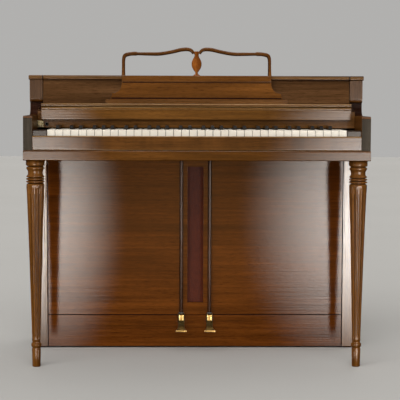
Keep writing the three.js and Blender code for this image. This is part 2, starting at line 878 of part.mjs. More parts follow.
// Pedals, their bracket and rods
function pedal() {
  const bossFrontY = bossRearY - pedalBossDepth;
  const neckBackY = bossFrontY + pedalToeThickness;
  const boss = block(
    [-pedalBossWidth / 2, pedalBossWidth / 2], [bossFrontY, bossRearY], [shankBottom, pedalBossTop]);
  const shank = block(
    [-pedalShankWidth / 2, pedalShankWidth / 2],
    [bossRearY - pedalToeThickness, pivotY],
    [shankBottom, shankTop]);
  const hub = roundBar('x', pivotHubRadius, pedalShankWidth, [0, pivotY, pivotZ]);
  const toeBottom = pedalToeTop - pedalToeThickness;
  const neckSection = polygon([
    [bossFrontY, shankBottom + pedalToeThickness],
    [bossFrontY, shankBottom],
    [bossFrontY - pedalToeThickness / 2, pedalToeTop + pedalToeThickness],
    [bossFrontY - 2 * pedalToeThickness, pedalToeTop],
    [bossFrontY - 2 * pedalToeThickness, toeBottom],
    [bossFrontY + pedalToeThickness / 2, toeBottom],
    [neckBackY + pedalToeThickness, shankBottom],
    [neckBackY + pedalToeThickness, shankBottom + pedalToeThickness],
  ].reverse());
  const neck = alongX(neckSection, -pedalNeckWidth / 2, pedalNeckWidth / 2);
  return cutBy(
    joined(boss, shank, hub, neck, pedalToe(bossFrontY, toeBottom)),
    roundBar('x', pivotPinRadius + pivotClearance, pedalShankWidth + 2 * cutOverrun, [0, pivotY, pivotZ]));
}

function pedalToe(bossFrontY, toeBottom) {
  const half = pedalToeWidth / 2;
  const neckHalf = pedalNeckWidth / 2;
  const length = bossFrontY - pedalToeFrontY;
  const shoulderY = pedalToeFrontY + length * toeShoulderShare;
  const outline = new THREE.Shape();
  outline.moveTo(-neckHalf, bossFrontY);
  outline.quadraticCurveTo(-neckHalf, bossFrontY - length / 2, -half, shoulderY);
  outline.quadraticCurveTo(-half, pedalToeFrontY, 0, pedalToeFrontY);
  outline.quadraticCurveTo(half, pedalToeFrontY, half, shoulderY);
  outline.quadraticCurveTo(neckHalf, bossFrontY - length / 2, neckHalf, bossFrontY);
  outline.closePath();
  return upward(outline, toeBottom, pedalToeTop);
}

function pedalBracket() {
  const base = block(
    [-pedalSpacing / 2 - earDepth, pedalSpacing / 2 + earDepth],
    [pivotY - earDepth / 2, pivotY + earDepth / 2],
    [bottomBoardTop + seatGap, bottomBoardTop + seatGap + bracketPlate]);
  const parts = [base];
  for (const side of [-1, 1]) {
    const x = side * pedalSpacing / 2;
    const inner = pedalShankWidth / 2 + earClearance;
    for (const ear of [-1, 1]) {
      const near = x + ear * inner;
      parts.push(block(
        span(near, near + ear * earThickness),
        [pivotY - earDepth / 2, pivotY + earDepth / 2],
        [bottomBoardTop + seatGap, pivotZ + earDepth / 2]));
    }
    parts.push(roundBar('x', pivotPinRadius, 2 * (inner + earThickness), [x, pivotY, pivotZ]));
  }
  return joined(...parts);
}

function pedalRod() {
  return roundBar('z', rodRadius, rodTop - rodBottom, [0, 0, (rodTop + rodBottom) / 2]);
}

// Key shapes
function sharpCentres() {
  const centres = [];
  for (let octave = firstOctaveOffset; octave < naturalCount; octave += naturalsInOctave) {
    for (const share of sharpCentreShares) {
      const centre = octave + share;
      if (centre > 0 && centre < naturalCount - 1) {
        centres.push(centre);
      }
    }
  }
  return centres;
}
const sharpPlaces = sharpCentres();

function placeAcross(naturals) {
  return naturals * naturalPitch - keyboardHalf;
}

function naturalKey(index, rearY) {
  const left = placeAcross(index) + naturalGap / 2;
  const right = placeAcross(index + 1) - naturalGap / 2;
  const room = sharpWidth / 2 + sharpClearance;
  let tailLeft = left;
  let tailRight = right;
  for (const centre of sharpPlaces) {
    const x = placeAcross(centre);
    if (centre > index - 0.5 && centre < index + 0.5) {
      tailLeft = Math.max(left, x + room);
    }
    if (centre > index + 0.5 && centre < index + 1.5) {
      tailRight = Math.min(right, x - room);
    }
  }
  const headRearY = sharpFrontY - sharpClearance;
  const points = [[left, keyFrontY], [right, keyFrontY]];
  if (tailRight < right) {
    points.push([right, headRearY], [tailRight, headRearY]);
  }
  points.push([tailRight, rearY], [tailLeft, rearY]);
  if (tailLeft > left) {
    points.push([tailLeft, headRearY], [left, headRearY]);
  }
  return upward(polygon(points), keyBottom, naturalTop);
}

function sharpKey(centre, rearY) {
  const x = placeAcross(centre);
  const across = [x - sharpWidth / 2, x + sharpWidth / 2];
  const capRearY = nameboardFrontY - sharpRearGap;
  const stick = block(across, [sharpFrontY, rearY], [keyBottom, naturalTop]);
  const cap = taperedBlock(
    { x: across, y: [sharpFrontY, capRearY], z: naturalTop - sharpClearance },
    {
      x: [x - sharpTopWidth / 2, x + sharpTopWidth / 2],
      y: [sharpFrontY + sharpNoseSlope, capRearY],
      z: naturalTop + sharpHeight,
    });
  return joined(stick, cap);
}

// Naturals from one index up to another, held by a low strip behind
function naturalBank(from, to) {
  const keys = [];
  for (let index = from; index < to; index += 1) {
    keys.push(naturalKey(index, stickRearY + combStripGap));
  }
  const strip = block(
    [placeAcross(from) + naturalGap, placeAcross(to) - naturalGap],
    [stickRearY, stickRearY + combStripWidth],
    [keyBottom, keyBottom + combStripHeight]);
  return joined(...keys, strip);
}

// Sharps between two naturals, held by a high strip behind the naturals' own
function sharpBank(from, to) {
  const centres = sharpPlaces.filter((centre) => centre > from && centre < to);
  const stripFrontY = stickRearY + combStripWidth + combStripGap;
  const bottom = keyBottom + combStripHeight + combStripGap;
  const keys = centres.map((centre) => sharpKey(centre, stickRearY - combStripGap));
  const fingers = centres.map((centre) => block(
    [placeAcross(centre) - sharpWidth / 2, placeAcross(centre) + sharpWidth / 2],
    [stickRearY - combStripWidth, stripFrontY + combStripGap],
    [bottom, naturalTop]));
  const first = placeAcross(centres[0]) - sharpWidth / 2;
  const last = placeAcross(centres[centres.length - 1]) + sharpWidth / 2;
  const strip = block([first, last], [stripFrontY, stripFrontY + combStripWidth], [bottom, naturalTop]);
  return joined(...keys, ...fingers, strip);
}

function addKeys() {
  const octaveEnd = octaveStart + naturalsInOctave;
  addPiece('naturals_bass', naturalBank(0, octaveStart), naturalPlastic);
  addPiece('naturals_treble', naturalBank(octaveEnd, naturalCount), naturalPlastic);
  addPiece('sharps_bass', sharpBank(0, octaveStart), sharpPlastic);
  addPiece('sharps_treble', sharpBank(octaveEnd, naturalCount), sharpPlastic);
  naturalNames.forEach((name, step) => {
    addPiece(`key_${name}`, naturalKey(octaveStart + step, stickRearY), naturalPlastic);
  });
  sharpNames.forEach((name, step) => {
    addPiece(`key_${name}`, sharpKey(octaveStart + sharpCentreShares[step], stickRearY), sharpPlastic);
  });
}

// Frame under the keys
function keyFrame() {
  const bottom = keybedTop + seatGap;
  const railFrontY = keyFrontY + frontRailSetback;
  const backRailY = stickRearY + combStripGap;
  const balance = alongX(
    polygon([
      [balanceY - balanceRailFoot / 2, bottom],
      [balanceY + balanceRailFoot / 2, bottom],
      [balanceY + balanceRailLand / 2, keyBottom - keyRestGap],
      [balanceY - balanceRailLand / 2, keyBottom - keyRestGap],
    ]),
    -keyboardHalf, keyboardHalf);
  const front = block(
    [-keyboardHalf, keyboardHalf], [railFrontY, railFrontY + frontRailWidth], [bottom, frontRailTop]);
  const back = block(
    [-keyboardHalf, keyboardHalf], [backRailY, backRailY + backRailWidth], [bottom, backRailTop]);
  const members = crossMemberShares.map((share) => block(
    [share * keyboardHalf - crossMemberWidth / 2, share * keyboardHalf + crossMemberWidth / 2].map(
      (x) => THREE.MathUtils.clamp(x, -keyboardHalf, keyboardHalf)),
    [railFrontY, backRailY + backRailWidth],
    [bottom, bottom + crossMemberHeight]));
  return joined(balance, front, back, ...members);
}

function keyBlock(side) {
  const section = roundedNose(
    [keySlipFrontY + keySlipThickness + seatGap, nameboardFrontY - seatGap],
    [keybedTop + seatGap, keyBlockTop],
    keyBlockRadius);
  return alongX(section, ...span(side * keyBlockInnerX, side * keyBlockOuterX));
}

// Hammers and reeds
function railWithFeet(frontRailY, depth, bottom, height) {
  const end = keyBlockOuterX - railFootInset;
  const beam = block([-end, end], [frontRailY, frontRailY + depth], [bottom, bottom + height]);
  const legs = [-1, 1].map((side) => {
    const middle = side * (end - railFootWidth / 2);
    return block(
      [middle - railFootWidth / 2, middle + railFootWidth / 2],
      [frontRailY, frontRailY + depth],
      [keybedTop + seatGap, bottom + height / 2]);
  });
  return [beam, ...legs];
}

function keyCentre(key) {
  return (key + 0.5) / keyCount * 2 * keyboardHalf - keyboardHalf;
}

function hammerRail() {
  const hammers = [];
  for (let key = 0; key < keyCount; key += 1) {
    const x = keyCentre(key);
    hammers.push(block(
      [x - hammerWidth / 2, x + hammerWidth / 2],
      [hammerRailY - hammerReach, hammerRailY + cutOverrun],
      [hammerRailBottom, hammerRailBottom + hammerHeight]));
  }
  const rail = railWithFeet(hammerRailY, hammerRailDepth, hammerRailBottom, hammerRailHeight);
  return joined(...rail, ...hammers);
}

function reedBar() {
  const reeds = [];
  for (let key = 0; key < keyCount; key += 1) {
    const x = keyCentre(key);
    const length = THREE.MathUtils.lerp(reedLongest, reedShortest, key / (keyCount - 1));
    reeds.push(block(
      [x - reedWidth / 2, x + reedWidth / 2],
      [reedBarY - length, reedBarY + cutOverrun],
      [reedBarBottom, reedBarBottom + reedThickness]));
  }
  const bar = railWithFeet(reedBarY, reedBarDepth, reedBarBottom, reedBarHeight);
  return joined(...bar, ...reeds);
}

// Electrical parts
function amplifier() {
  const bottom = bottomBoardTop + seatGap;
  const rear = sideBackY - amplifierRearGap;
  const right = amplifierX + amplifierWidth;
  const chassis = block(
    [amplifierX, right], [rear - amplifierDepth, rear], [bottom, bottom + amplifierHeight]);
  const finRoom = amplifierWidth - transformerWidth - 2 * transformerInset;
  const fins = [];
  for (let fin = 0; fin < finCount; fin += 1) {
    const x = amplifierX + (fin + 0.5) / finCount * finRoom;
    fins.push(block(
      [x - finThickness / 2, x + finThickness / 2],
      [rear - amplifierDepth, rear],
      [bottom + amplifierHeight - cutOverrun, bottom + amplifierHeight + finHeight]));
  }
  const core = block(
    [right - transformerInset - transformerWidth, right - transformerInset],
    [rear - transformerInset - windingProud - transformerDepth, rear - transformerInset - windingProud],
    [bottom + amplifierHeight - cutOverrun, bottom + amplifierHeight + transformerHeight]);
  const winding = block(
    [right - transformerInset - transformerWidth + windingProud, right - transformerInset - windingProud],
    [rear - transformerInset - 2 * windingProud - transformerDepth, rear - transformerInset],
    [bottom + amplifierHeight + windingProud, bottom + amplifierHeight + transformerHeight - windingProud]);
  return joined(chassis, core, winding, ...fins);
}

function cordGland() {
  const flangeFront = panelBackY + seatGap;
  return turnedAboutY([
    [glandBoreRadius, sideBackY],
    [glandNeckRadius, sideBackY],
    [glandNeckRadius, flangeFront],
    [glandFlangeRadius, flangeFront],
    [glandFlangeRadius, flangeFront + glandFlangeThickness],
    [glandBoreRadius, flangeFront + glandFlangeThickness],
  ], glandX, glandZ, barSides);
}

// Controls
function controlPlate() {
  return block(
    [controlPlateX, controlPlateX + controlPlateWidth],
    [controlPlateFrontY, controlPlateFrontY + controlPlateThickness],
    [controlPlateBottom, controlPlateBottom + controlPlateHeight]);
}

function volumeKnob() {
  const outline = [];
  for (let step = 0; step < 2 * knobRibs; step += 1) {
    const angle = Math.PI * step / knobRibs;
    const radius = knobRadius * (step % 2 ? 1 : 1 - knobRibShare);
    outline.push([radius * Math.cos(angle), radius * Math.sin(angle)]);
  }
  return alongY(polygon(outline), -knobLength, 0);
}

function headphoneJack() {
  const front = nameboardFrontY - jackProud;
  return turnedAboutY([
    [jackBoreRadius, front],
    [jackRadius, front],
    [jackRadius, nameboardFrontY - seatGap],
    [jackBarrelRadius, nameboardFrontY - seatGap],
    [jackBarrelRadius, front + jackLength],
    [jackBoreRadius, front + jackLength],
  ], jackX, knobZ, jackSides);
}

function nameboardWithJackHole() {
  const hole = roundBar(
    'y', jackBarrelRadius + seatGap, nameboardThickness + 2 * cutOverrun,
    [jackX, nameboardFrontY + nameboardThickness / 2, knobZ], jackSides);
  return cutBy(nameboard(), hole);
}

// Assembly
function addCase() {
  addPiece('keybed', keybed(), walnut);
  addPiece('key_slip', keySlip(), walnut);
  addPiece('nameboard', nameboardWithJackHole(), walnutDark);
  addPiece('fixed_shelf', fixedShelf(), walnut);
  addPiece('back_panel', backPanel(), hardboard);
  addPiece('lid_rear_rail', lidRearRail(), walnut);
  addPiece('plinth_rail', plinthRail(), walnut);
  addPiece('bottom_board', bottomBoard(), hardboard);
  addPiece('grille_frame', grilleFrame(), walnut);
  for (const [side, name] of [[-1, 'left'], [1, 'right']]) {
    addPiece(`upper_side_${name}`, upperSide(side), walnut);
    addPiece(`lower_side_${name}`, lowerSide(side), walnut);
    addPiece(`lower_panel_${name}`, lowerPanel(side), walnut);
    addPiece(`lid_end_${name}`, lidEnd(side), walnut);
    addPiece(`key_block_${name}`, keyBlock(side), walnutDark);
    addPiece(`leg_${name}`, legGeometry(), walnut).position.set(side * legX, legY, 0);
  }
}

function addTopAndFallboard() {
  addPiece('lid', lidBoard(-lidHalf, lidHalf, lidRearY), walnut);
  addPiece('lid_hinge', lidHinge(), brass);
  addPiece('upper_front_panel', upperFrontPanel(), walnut);
  addPiece('desk_ledge', deskLedge(), walnut);
  addPiece('fallboard', fallboard(), walnut);
  piano.add(musicDesk());
}

function addPedals() {
  addPiece('pedal_bracket', pedalBracket(), steel);
  for (const [side, name] of [[-1, 'left'], [1, 'right']]) {
    addPiece(`pedal_${name}`, pedal(), brass).position.x = side * pedalSpacing / 2;
    addPiece(`pedal_rod_${name}`, pedalRod(), walnutDark).position.set(side * pedalSpacing / 2, rodY, 0);
  }
}

function addInsides() {
  addPiece('key_frame', keyFrame(), spruce);
  addPiece('hammer_rail', hammerRail(), spruce);
  addPiece('reed_bar', reedBar(), steel);
  addPiece('grille_cloth', clothPanel(), grilleCloth);
  addPiece('speaker', speaker(), blackPaper);
  addPiece('amplifier', amplifier(), steel);
  addPiece('cord_gland', cordGland(), blackRubber);
}

function addControls() {
  addPiece('control_plate', controlPlate(), creamPlastic);
  addPiece('headphone_jack', headphoneJack(), nickel);
  const knob = addPiece('volume_knob', volumeKnob(), creamPlastic);
  knob.position.set(knobX, controlPlateFrontY - slideGap, knobZ);
}

addCase();
addTopAndFallboard();
addPedals();
addKeys();
addInsides();
addControls();

export default piano;
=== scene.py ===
# Looks of the console electronic piano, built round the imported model.
# Metres. X runs along the keyboard to the right, Y from the front to the back, Z up from the floor.
import json
import math

import bmesh
import bpy
from mathutils import Matrix, Vector

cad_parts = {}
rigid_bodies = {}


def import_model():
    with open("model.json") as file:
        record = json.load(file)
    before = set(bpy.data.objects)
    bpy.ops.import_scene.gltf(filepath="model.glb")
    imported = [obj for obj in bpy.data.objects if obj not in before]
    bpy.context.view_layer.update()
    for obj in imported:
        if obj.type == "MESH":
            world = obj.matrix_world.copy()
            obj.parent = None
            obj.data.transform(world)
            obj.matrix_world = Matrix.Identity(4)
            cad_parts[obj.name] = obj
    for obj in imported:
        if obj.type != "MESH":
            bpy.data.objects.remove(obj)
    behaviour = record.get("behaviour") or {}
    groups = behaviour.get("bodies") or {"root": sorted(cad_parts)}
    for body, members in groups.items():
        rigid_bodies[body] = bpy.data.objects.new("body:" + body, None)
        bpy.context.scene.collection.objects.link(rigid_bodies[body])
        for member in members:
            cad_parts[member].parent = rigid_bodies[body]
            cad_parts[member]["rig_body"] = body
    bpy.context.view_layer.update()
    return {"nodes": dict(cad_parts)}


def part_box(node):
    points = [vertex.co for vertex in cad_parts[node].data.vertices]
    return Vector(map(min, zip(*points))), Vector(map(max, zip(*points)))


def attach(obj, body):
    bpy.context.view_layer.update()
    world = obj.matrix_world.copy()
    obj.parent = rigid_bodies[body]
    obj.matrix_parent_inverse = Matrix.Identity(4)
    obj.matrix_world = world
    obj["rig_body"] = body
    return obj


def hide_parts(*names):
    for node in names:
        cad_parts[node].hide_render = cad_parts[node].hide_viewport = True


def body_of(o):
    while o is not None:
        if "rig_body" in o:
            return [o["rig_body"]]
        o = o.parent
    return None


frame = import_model()

MM = 0.001

# Camera, fitted to the photograph
IMAGE_PIXELS = 400
SENSOR_MM = 36
FOCAL_PIXELS = 1343.9
CAMERA_PLACE = (-0.0645, -4.24, 0.8133)
CAMERA_YAW = -0.0183
CAMERA_PITCH = 0.0768
CAMERA_ROLL = 0.0034

# Wood grain, in cycles a metre along and across the fibres
FIGURE_ALONG = 1.3
FIGURE_ACROSS = 15
STREAK_ALONG = 3.2
STREAK_ACROSS = 130
PORE_ALONG = 45
PORE_ACROSS = 1300
CLOUD = 2.5
TICK_ALONG = 6
TICK_ACROSS = 330
FLAME_ACROSS = 26
FLAME_UP = 4
# How the grain is blended, where its tones and its pores' tones stand, and how deep its marks are
FIGURE_SHARE = 0.5
CLOUD_SHARE = 0.05
TONE_STOPS = (0.34, 0.5, 0.66)
PORE_STOPS = (0.3, 0.48)
PORE_DEPTH = 0.06 * MM
TICK_DEPTH = 0.3 * MM
# Each pattern starts elsewhere, this far along each axis for one step of its seed
SEED_SHIFT = (1, 1.7, 0.6)

# Other surfaces, in cycles a metre
MOTTLE = 35
MOULD_GRAIN = 2600
BRUSHING_ALONG = 30
BRUSHING_ACROSS = 1500
TARNISH = 60
FIBRE_CLOUD = 9
DYE = 70
FLOOR_CLOUD = 0.7
FINE_DEPTH = 0.03 * MM
FIBRE_DEPTH = 0.1 * MM
WEAVE_DEPTH = 0.4 * MM

# A noise seldom leaves this range
NOISE_LOW = 0.3
NOISE_HIGH = 0.7

# Sockets of a mix node, which only their numbers tell apart
MIX_SHARE = 0
MIX_VALUES = (2, 3)
MIX_COLOURS = (6, 7)
MIXED_VALUE = 0
MIXED_COLOUR = 2


# Materials
def srgb(red, green, blue):
    """A colour given on the 0 to 255 scale, made linear."""
    channels = []
    for value in (red, green, blue):
        share = value / 255
        channels.append(share / 12.92 if share <= 0.04045 else ((share + 0.055) / 1.055) ** 2.4)
    return (*channels, 1)


def new_material(name):
    """A material, its node tree and its shader."""
    material = bpy.data.materials.new(name)
    material.use_nodes = True
    tree = material.node_tree
    return material, tree, tree.nodes["Principled BSDF"]


def fill(tree, node, inputs):
    """Sets a node's inputs, or links them where a socket is given."""
    for key, value in inputs.items():
        if isinstance(value, bpy.types.NodeSocket):
            tree.links.new(value, node.inputs[key])
        else:
            node.inputs[key].default_value = value


def add_node(tree, kind, inputs, **options):
    node = tree.nodes.new(kind)
    for key, value in options.items():
        setattr(node, key, value)
    fill(tree, node, inputs)
    return node


def object_place(tree, scale, seed=0.0):
    """Object coordinates, scaled on each axis and shifted by a seed."""
    coordinates = add_node(tree, "ShaderNodeTexCoord", {})
    mapping = add_node(tree, "ShaderNodeMapping", {
        "Vector": coordinates.outputs["Object"],
        "Location": tuple(seed * shift for shift in SEED_SHIFT),
        "Scale": scale,
    })
    return mapping.outputs["Vector"]


def noise(tree, place, scale=1.0, detail=4.0, roughness=0.55, distortion=0.0):
    return add_node(tree, "ShaderNodeTexNoise", {
        "Vector": place, "Scale": scale, "Detail": detail,
        "Roughness": roughness, "Distortion": distortion,
    }).outputs["Fac"]


def math_node(tree, operation, first, second):
    return add_node(tree, "ShaderNodeMath", {0: first, 1: second}, operation=operation).outputs[0]


def blend(tree, first, second, share):
    """A share of the first value and the rest of the second."""
    return math_node(
        tree, "ADD", math_node(tree, "MULTIPLY", first, share),
        math_node(tree, "MULTIPLY", second, 1 - share))


def remap(tree, value, low, high):
    """A noise, spread from low to high."""
    return add_node(tree, "ShaderNodeMapRange", {
        "Value": value, "From Min": NOISE_LOW, "From Max": NOISE_HIGH, "To Min": low, "To Max": high,
    }).outputs["Result"]


def ramp(tree, value, stops):
    node = add_node(tree, "ShaderNodeValToRGB", {"Fac": value})
    elements = node.color_ramp.elements
    while len(elements) < len(stops):
        elements.new(0.5)
    for element, (position, colour) in zip(elements, stops):
        element.position = position
        element.color = colour
    return node.outputs["Color"]


def multiplied(tree, first, second):
    """Two colours, one darkened by the other."""
    return add_node(
        tree, "ShaderNodeMix", {MIX_SHARE: 1.0, MIX_COLOURS[0]: first, MIX_COLOURS[1]: second},
        data_type="RGBA", blend_type="MULTIPLY").outputs[MIXED_COLOUR]


def bump(tree, height, distance, strength):
    return add_node(tree, "ShaderNodeBump", {
        "Height": height, "Distance": distance, "Strength": strength,
    }).outputs["Normal"]


def stretched(axis, along, across):
    """Scales of a pattern that is drawn out along one axis."""
    scale = [across] * 3
    scale["XYZ".index(axis)] = along
    return scale


def wood(name, tones, axis="X", seed=0.0, roughness=0.4, gloss=1.2, blur=0.05, flame=0.0):
    """Lacquered veneer: broad figure, fine streaks and open pores, all drawn out along the fibres."""
    material, tree, shader = new_material(name)
    figure = noise(
        tree, object_place(tree, stretched(axis, FIGURE_ALONG, FIGURE_ACROSS), seed),
        detail=3.0, distortion=0.8)
    streaks = noise(
        tree, object_place(tree, stretched(axis, STREAK_ALONG, STREAK_ACROSS), seed + 3.1),
        detail=5.0, roughness=0.6, distortion=0.3)
    pores = noise(
        tree, object_place(tree, stretched(axis, PORE_ALONG, PORE_ACROSS), seed + 7.7), detail=2.0)
    cloud = noise(tree, object_place(tree, (CLOUD, CLOUD, CLOUD), seed + 5.3), detail=2.0)
    grain = math_node(
        tree, "ADD", blend(tree, figure, streaks, FIGURE_SHARE),
        remap(tree, cloud, -CLOUD_SHARE, CLOUD_SHARE))
    if flame:
        flames = noise(
            tree, object_place(tree, (FLAME_ACROSS, FLAME_ACROSS, FLAME_UP), seed + 4.4), detail=3.0)
        grain = math_node(tree, "ADD", grain, remap(tree, flames, -flame, flame))
    pore_tones = (srgb(165, 145, 130), srgb(255, 255, 255))
    ticks = noise(
        tree, object_place(tree, stretched(axis, TICK_ALONG, TICK_ACROSS), seed + 9.1), detail=1.0)
    fill(tree, shader, {
        "Base Color": multiplied(
            tree, ramp(tree, grain, list(zip(TONE_STOPS, tones))),
            ramp(tree, pores, list(zip(PORE_STOPS, pore_tones)))),
        "Roughness": remap(tree, streaks, roughness - 0.05, roughness + 0.08),
        "Specular IOR Level": 0.0,
        "Normal": bump(tree, pores, PORE_DEPTH, 0.4),
        "Coat Weight": 1.0,
        "Coat Roughness": blur,
        "Coat IOR": gloss,
        "Coat Normal": bump(tree, ticks, TICK_DEPTH, 0.7),
    })
    return material


def plastic(name, colour, shaded, roughness, coat=0.0, shine=0.5):
    """Moulded plastic with faint mottling and a fine mould texture."""
    material, tree, shader = new_material(name)
    place = object_place(tree, (1, 1, 1))
    cloud = noise(tree, place, scale=MOTTLE)
    grainy = noise(tree, place, scale=MOULD_GRAIN, detail=2.0)
    fill(tree, shader, {
        "Base Color": ramp(tree, cloud, [(0.3, shaded), (0.62, colour)]),
        "Roughness": remap(tree, cloud, roughness + 0.05, roughness - 0.03),
        "Normal": bump(tree, grainy, FINE_DEPTH, 0.3),
        "Specular IOR Level": shine,
        "Coat Weight": coat,
        "Coat Roughness": 0.08,
    })
    return material


def metal(name, bright, dull, roughness):
    """Metal with brushing along X and patches of tarnish."""
    material, tree, shader = new_material(name)
    brushing = noise(
        tree, object_place(tree, stretched("X", BRUSHING_ALONG, BRUSHING_ACROSS)), detail=3.0)
    patches = noise(
        tree, object_place(tree, (TARNISH, TARNISH, TARNISH), 2.3), detail=5.0, roughness=0.65)
    fill(tree, shader, {
        "Base Color": ramp(tree, patches, [(0.35, dull), (0.6, bright)]),
        "Metallic": 1.0,
        "Roughness": remap(tree, patches, roughness + 0.16, roughness),
        "Normal": bump(tree, brushing, FINE_DEPTH, 0.35),
    })
    return material


def matt(name, colour, shaded, scale, roughness=0.8):
    """Unfinished or fibrous surface, mottled and slightly rough."""
    material, tree, shader = new_material(name)
    place = object_place(tree, (1, 1, 1))
    fibres = noise(tree, place, scale=scale, detail=6.0, roughness=0.7)
    cloud = noise(tree, place, scale=FIBRE_CLOUD, detail=3.0)
    fill(tree, shader, {
        "Base Color": ramp(tree, blend(tree, fibres, cloud, 0.6), [(0.38, shaded), (0.62, colour)]),
        "Roughness": roughness,
        "Normal": bump(tree, fibres, FIBRE_DEPTH, 0.5),
    })
    return material


def woven(name, thread, shadow, pitch):
    """Plain weave of soft threads with uneven dye."""
    material, tree, shader = new_material(name)
    place = object_place(tree, (1, 1, 1))
    waves = []
    for direction in ("X", "Z"):
        waves.append(add_node(tree, "ShaderNodeTexWave", {
            "Vector": place, "Scale": math.pi / (10 * pitch), "Distortion": 1.2,
            "Detail": 2.0, "Detail Scale": 3.0,
        }, bands_direction=direction, wave_profile="SIN").outputs["Fac"])
    weave = math_node(tree, "MAXIMUM", *waves)
    dye = noise(tree, place, scale=DYE, roughness=0.7)
    fill(tree, shader, {
        "Base Color": ramp(tree, blend(tree, weave, dye, 0.55), [(0.3, shadow), (0.75, thread)]),
        "Roughness": 0.85,
        "Normal": bump(tree, weave, WEAVE_DEPTH, 0.6),
        "Specular IOR Level": 0.1,
    })
    return material


# Tones of the woods, each from dark to light. Some carry painted light or shade: the darker tones of
# hollows and of the hollow under the cheeks, the lighter tone of the lid's front, the paler tone of
# front edges, which is partly wear, and the greyer tones of the arms' and cheeks' fronts
WALNUT = (srgb(62, 35, 7), srgb(84, 49, 14), srgb(106, 65, 24))
WALNUT_SLIP = (srgb(52, 28, 6), srgb(71, 40, 11), srgb(92, 55, 20))
WALNUT_DESK = (srgb(70, 38, 7), srgb(93, 54, 13), srgb(116, 70, 22))
WALNUT_TOP = (srgb(64, 41, 20), srgb(86, 58, 33), srgb(108, 75, 45))
WALNUT_PANEL = (srgb(64, 30, 4), srgb(85, 42, 8), srgb(106, 56, 15))
WALNUT_DARK = (srgb(62, 38, 14), srgb(88, 57, 25), srgb(110, 73, 35))
WALNUT_LEG = (srgb(78, 45, 14), srgb(106, 66, 25), srgb(134, 88, 40))
WALNUT_HOLLOW_SHADE = (srgb(46, 24, 7), srgb(62, 34, 11), srgb(80, 47, 18))
WALNUT_END = (srgb(30, 20, 12), srgb(44, 32, 22), srgb(60, 46, 34))
WALNUT_LEAF = (srgb(92, 46, 8), srgb(122, 66, 16), srgb(150, 86, 26))
WALNUT_ROD = (srgb(40, 20, 8), srgb(56, 30, 14), srgb(74, 42, 22))
WALNUT_LIT_EDGE = (srgb(80, 54, 26), srgb(104, 72, 37), srgb(128, 92, 52))
WALNUT_LEDGE = (srgb(72, 44, 18), srgb(94, 60, 28), srgb(118, 80, 42))
WALNUT_WORN_HIGHLIGHT = (srgb(114, 82, 44), srgb(138, 103, 60), srgb(162, 126, 80))
WALNUT_COVER = (srgb(70, 42, 12), srgb(93, 58, 19), srgb(116, 75, 29))
WALNUT_ARM_SHEEN = (srgb(52, 46, 38), srgb(65, 58, 49), srgb(80, 72, 62))
WALNUT_CHEEK_SHEEN = (srgb(68, 46, 28), srgb(86, 61, 40), srgb(106, 79, 55))
WALNUT_SHADE = (srgb(30, 15, 9), srgb(42, 22, 13), srgb(56, 31, 19))
SPRUCE = (srgb(168, 132, 84), srgb(196, 162, 114), srgb(216, 186, 140))

case_wood = wood("case_walnut", WALNUT, seed=1.0, gloss=1.18)
side_wood = wood("side_walnut", WALNUT, axis="Y", seed=2.0, blur=0.3)
slip_wood = wood("slip_walnut", WALNUT_SLIP, seed=1.6, gloss=1.25, flame=0.09)
# The arms' fronts: rough end grain, greyed by a painted reflection
arm_sheen_wood = wood("arm_sheen_walnut", WALNUT_ARM_SHEEN, axis="Z", seed=2.6, gloss=1.05, blur=0.35)
# The cheeks' upright fronts: part of their sheen painted into a greyer colour
cheek_sheen_wood = wood("cheek_sheen_walnut", WALNUT_CHEEK_SHEEN, axis="Z", seed=2.2, gloss=1.15, blur=0.3)
# Dark walnut of painted shade: the hollow under the cheeks, the seams of the lower case and the lines
# across the desk
painted_shade_wood = wood("painted_shade_walnut", WALNUT_SHADE, axis="Z", seed=2.9, gloss=1.06, blur=0.3)
lower_side_wood = wood("lower_side_walnut", WALNUT, axis="Z", seed=3.0, gloss=1.3)
desk_wood = wood("desk_walnut", WALNUT_DESK, seed=4.0, blur=0.2)
ledge_wood = wood("ledge_walnut", WALNUT_LEDGE, seed=4.6, gloss=1.3, blur=0.12)
# A lighter copy of the top's walnut for the front faces of the lid and its ends: painted light
lid_front_lit_wood = wood("lid_front_lit_walnut", WALNUT_LIT_EDGE, seed=7.4, gloss=1.12, blur=0.2)
panel_wood = wood("panel_walnut", WALNUT_PANEL, seed=5.0)
plinth_wood = wood("plinth_walnut", WALNUT_PANEL, seed=6.0)
top_wood = wood("top_walnut", WALNUT_TOP, seed=7.0)
shelf_wood = wood("shelf_walnut", WALNUT_TOP, seed=8.0)
fallboard_wood = wood("fallboard_walnut", WALNUT_COVER, seed=9.0, gloss=1.27)
nameboard_wood = wood("nameboard_walnut", WALNUT_DARK, seed=10.0, gloss=1.1, blur=0.15)
block_wood = wood("block_walnut", WALNUT_END, axis="Y", seed=11.0, gloss=1.18)
leaf_wood = wood("leaf_walnut", WALNUT_LEAF, axis="Z", seed=15.0, blur=0.2)
leg_wood = wood("leg_walnut", WALNUT_LEG, axis="Z", seed=12.0, gloss=1.17, blur=0.12)
# Darker walnut of painted shade: the bottoms of the legs' flutes and grooves, and the crest's inner
# side
hollow_shade_wood = wood("hollow_shade_walnut", WALNUT_HOLLOW_SHADE, axis="Z", seed=12.4, gloss=1.1)
rod_wood = wood("rod_walnut", WALNUT_ROD, axis="Z", seed=13.0, gloss=1.15, blur=0.15)
# Pale walnut for eased front edges: partly rubbed wear, partly a painted highlight
worn_highlight_wood = wood("worn_highlight_walnut", WALNUT_WORN_HIGHLIGHT, seed=16.0, blur=0.3)
spruce = wood("spruce", SPRUCE, seed=14.0, roughness=0.6, blur=0.4)
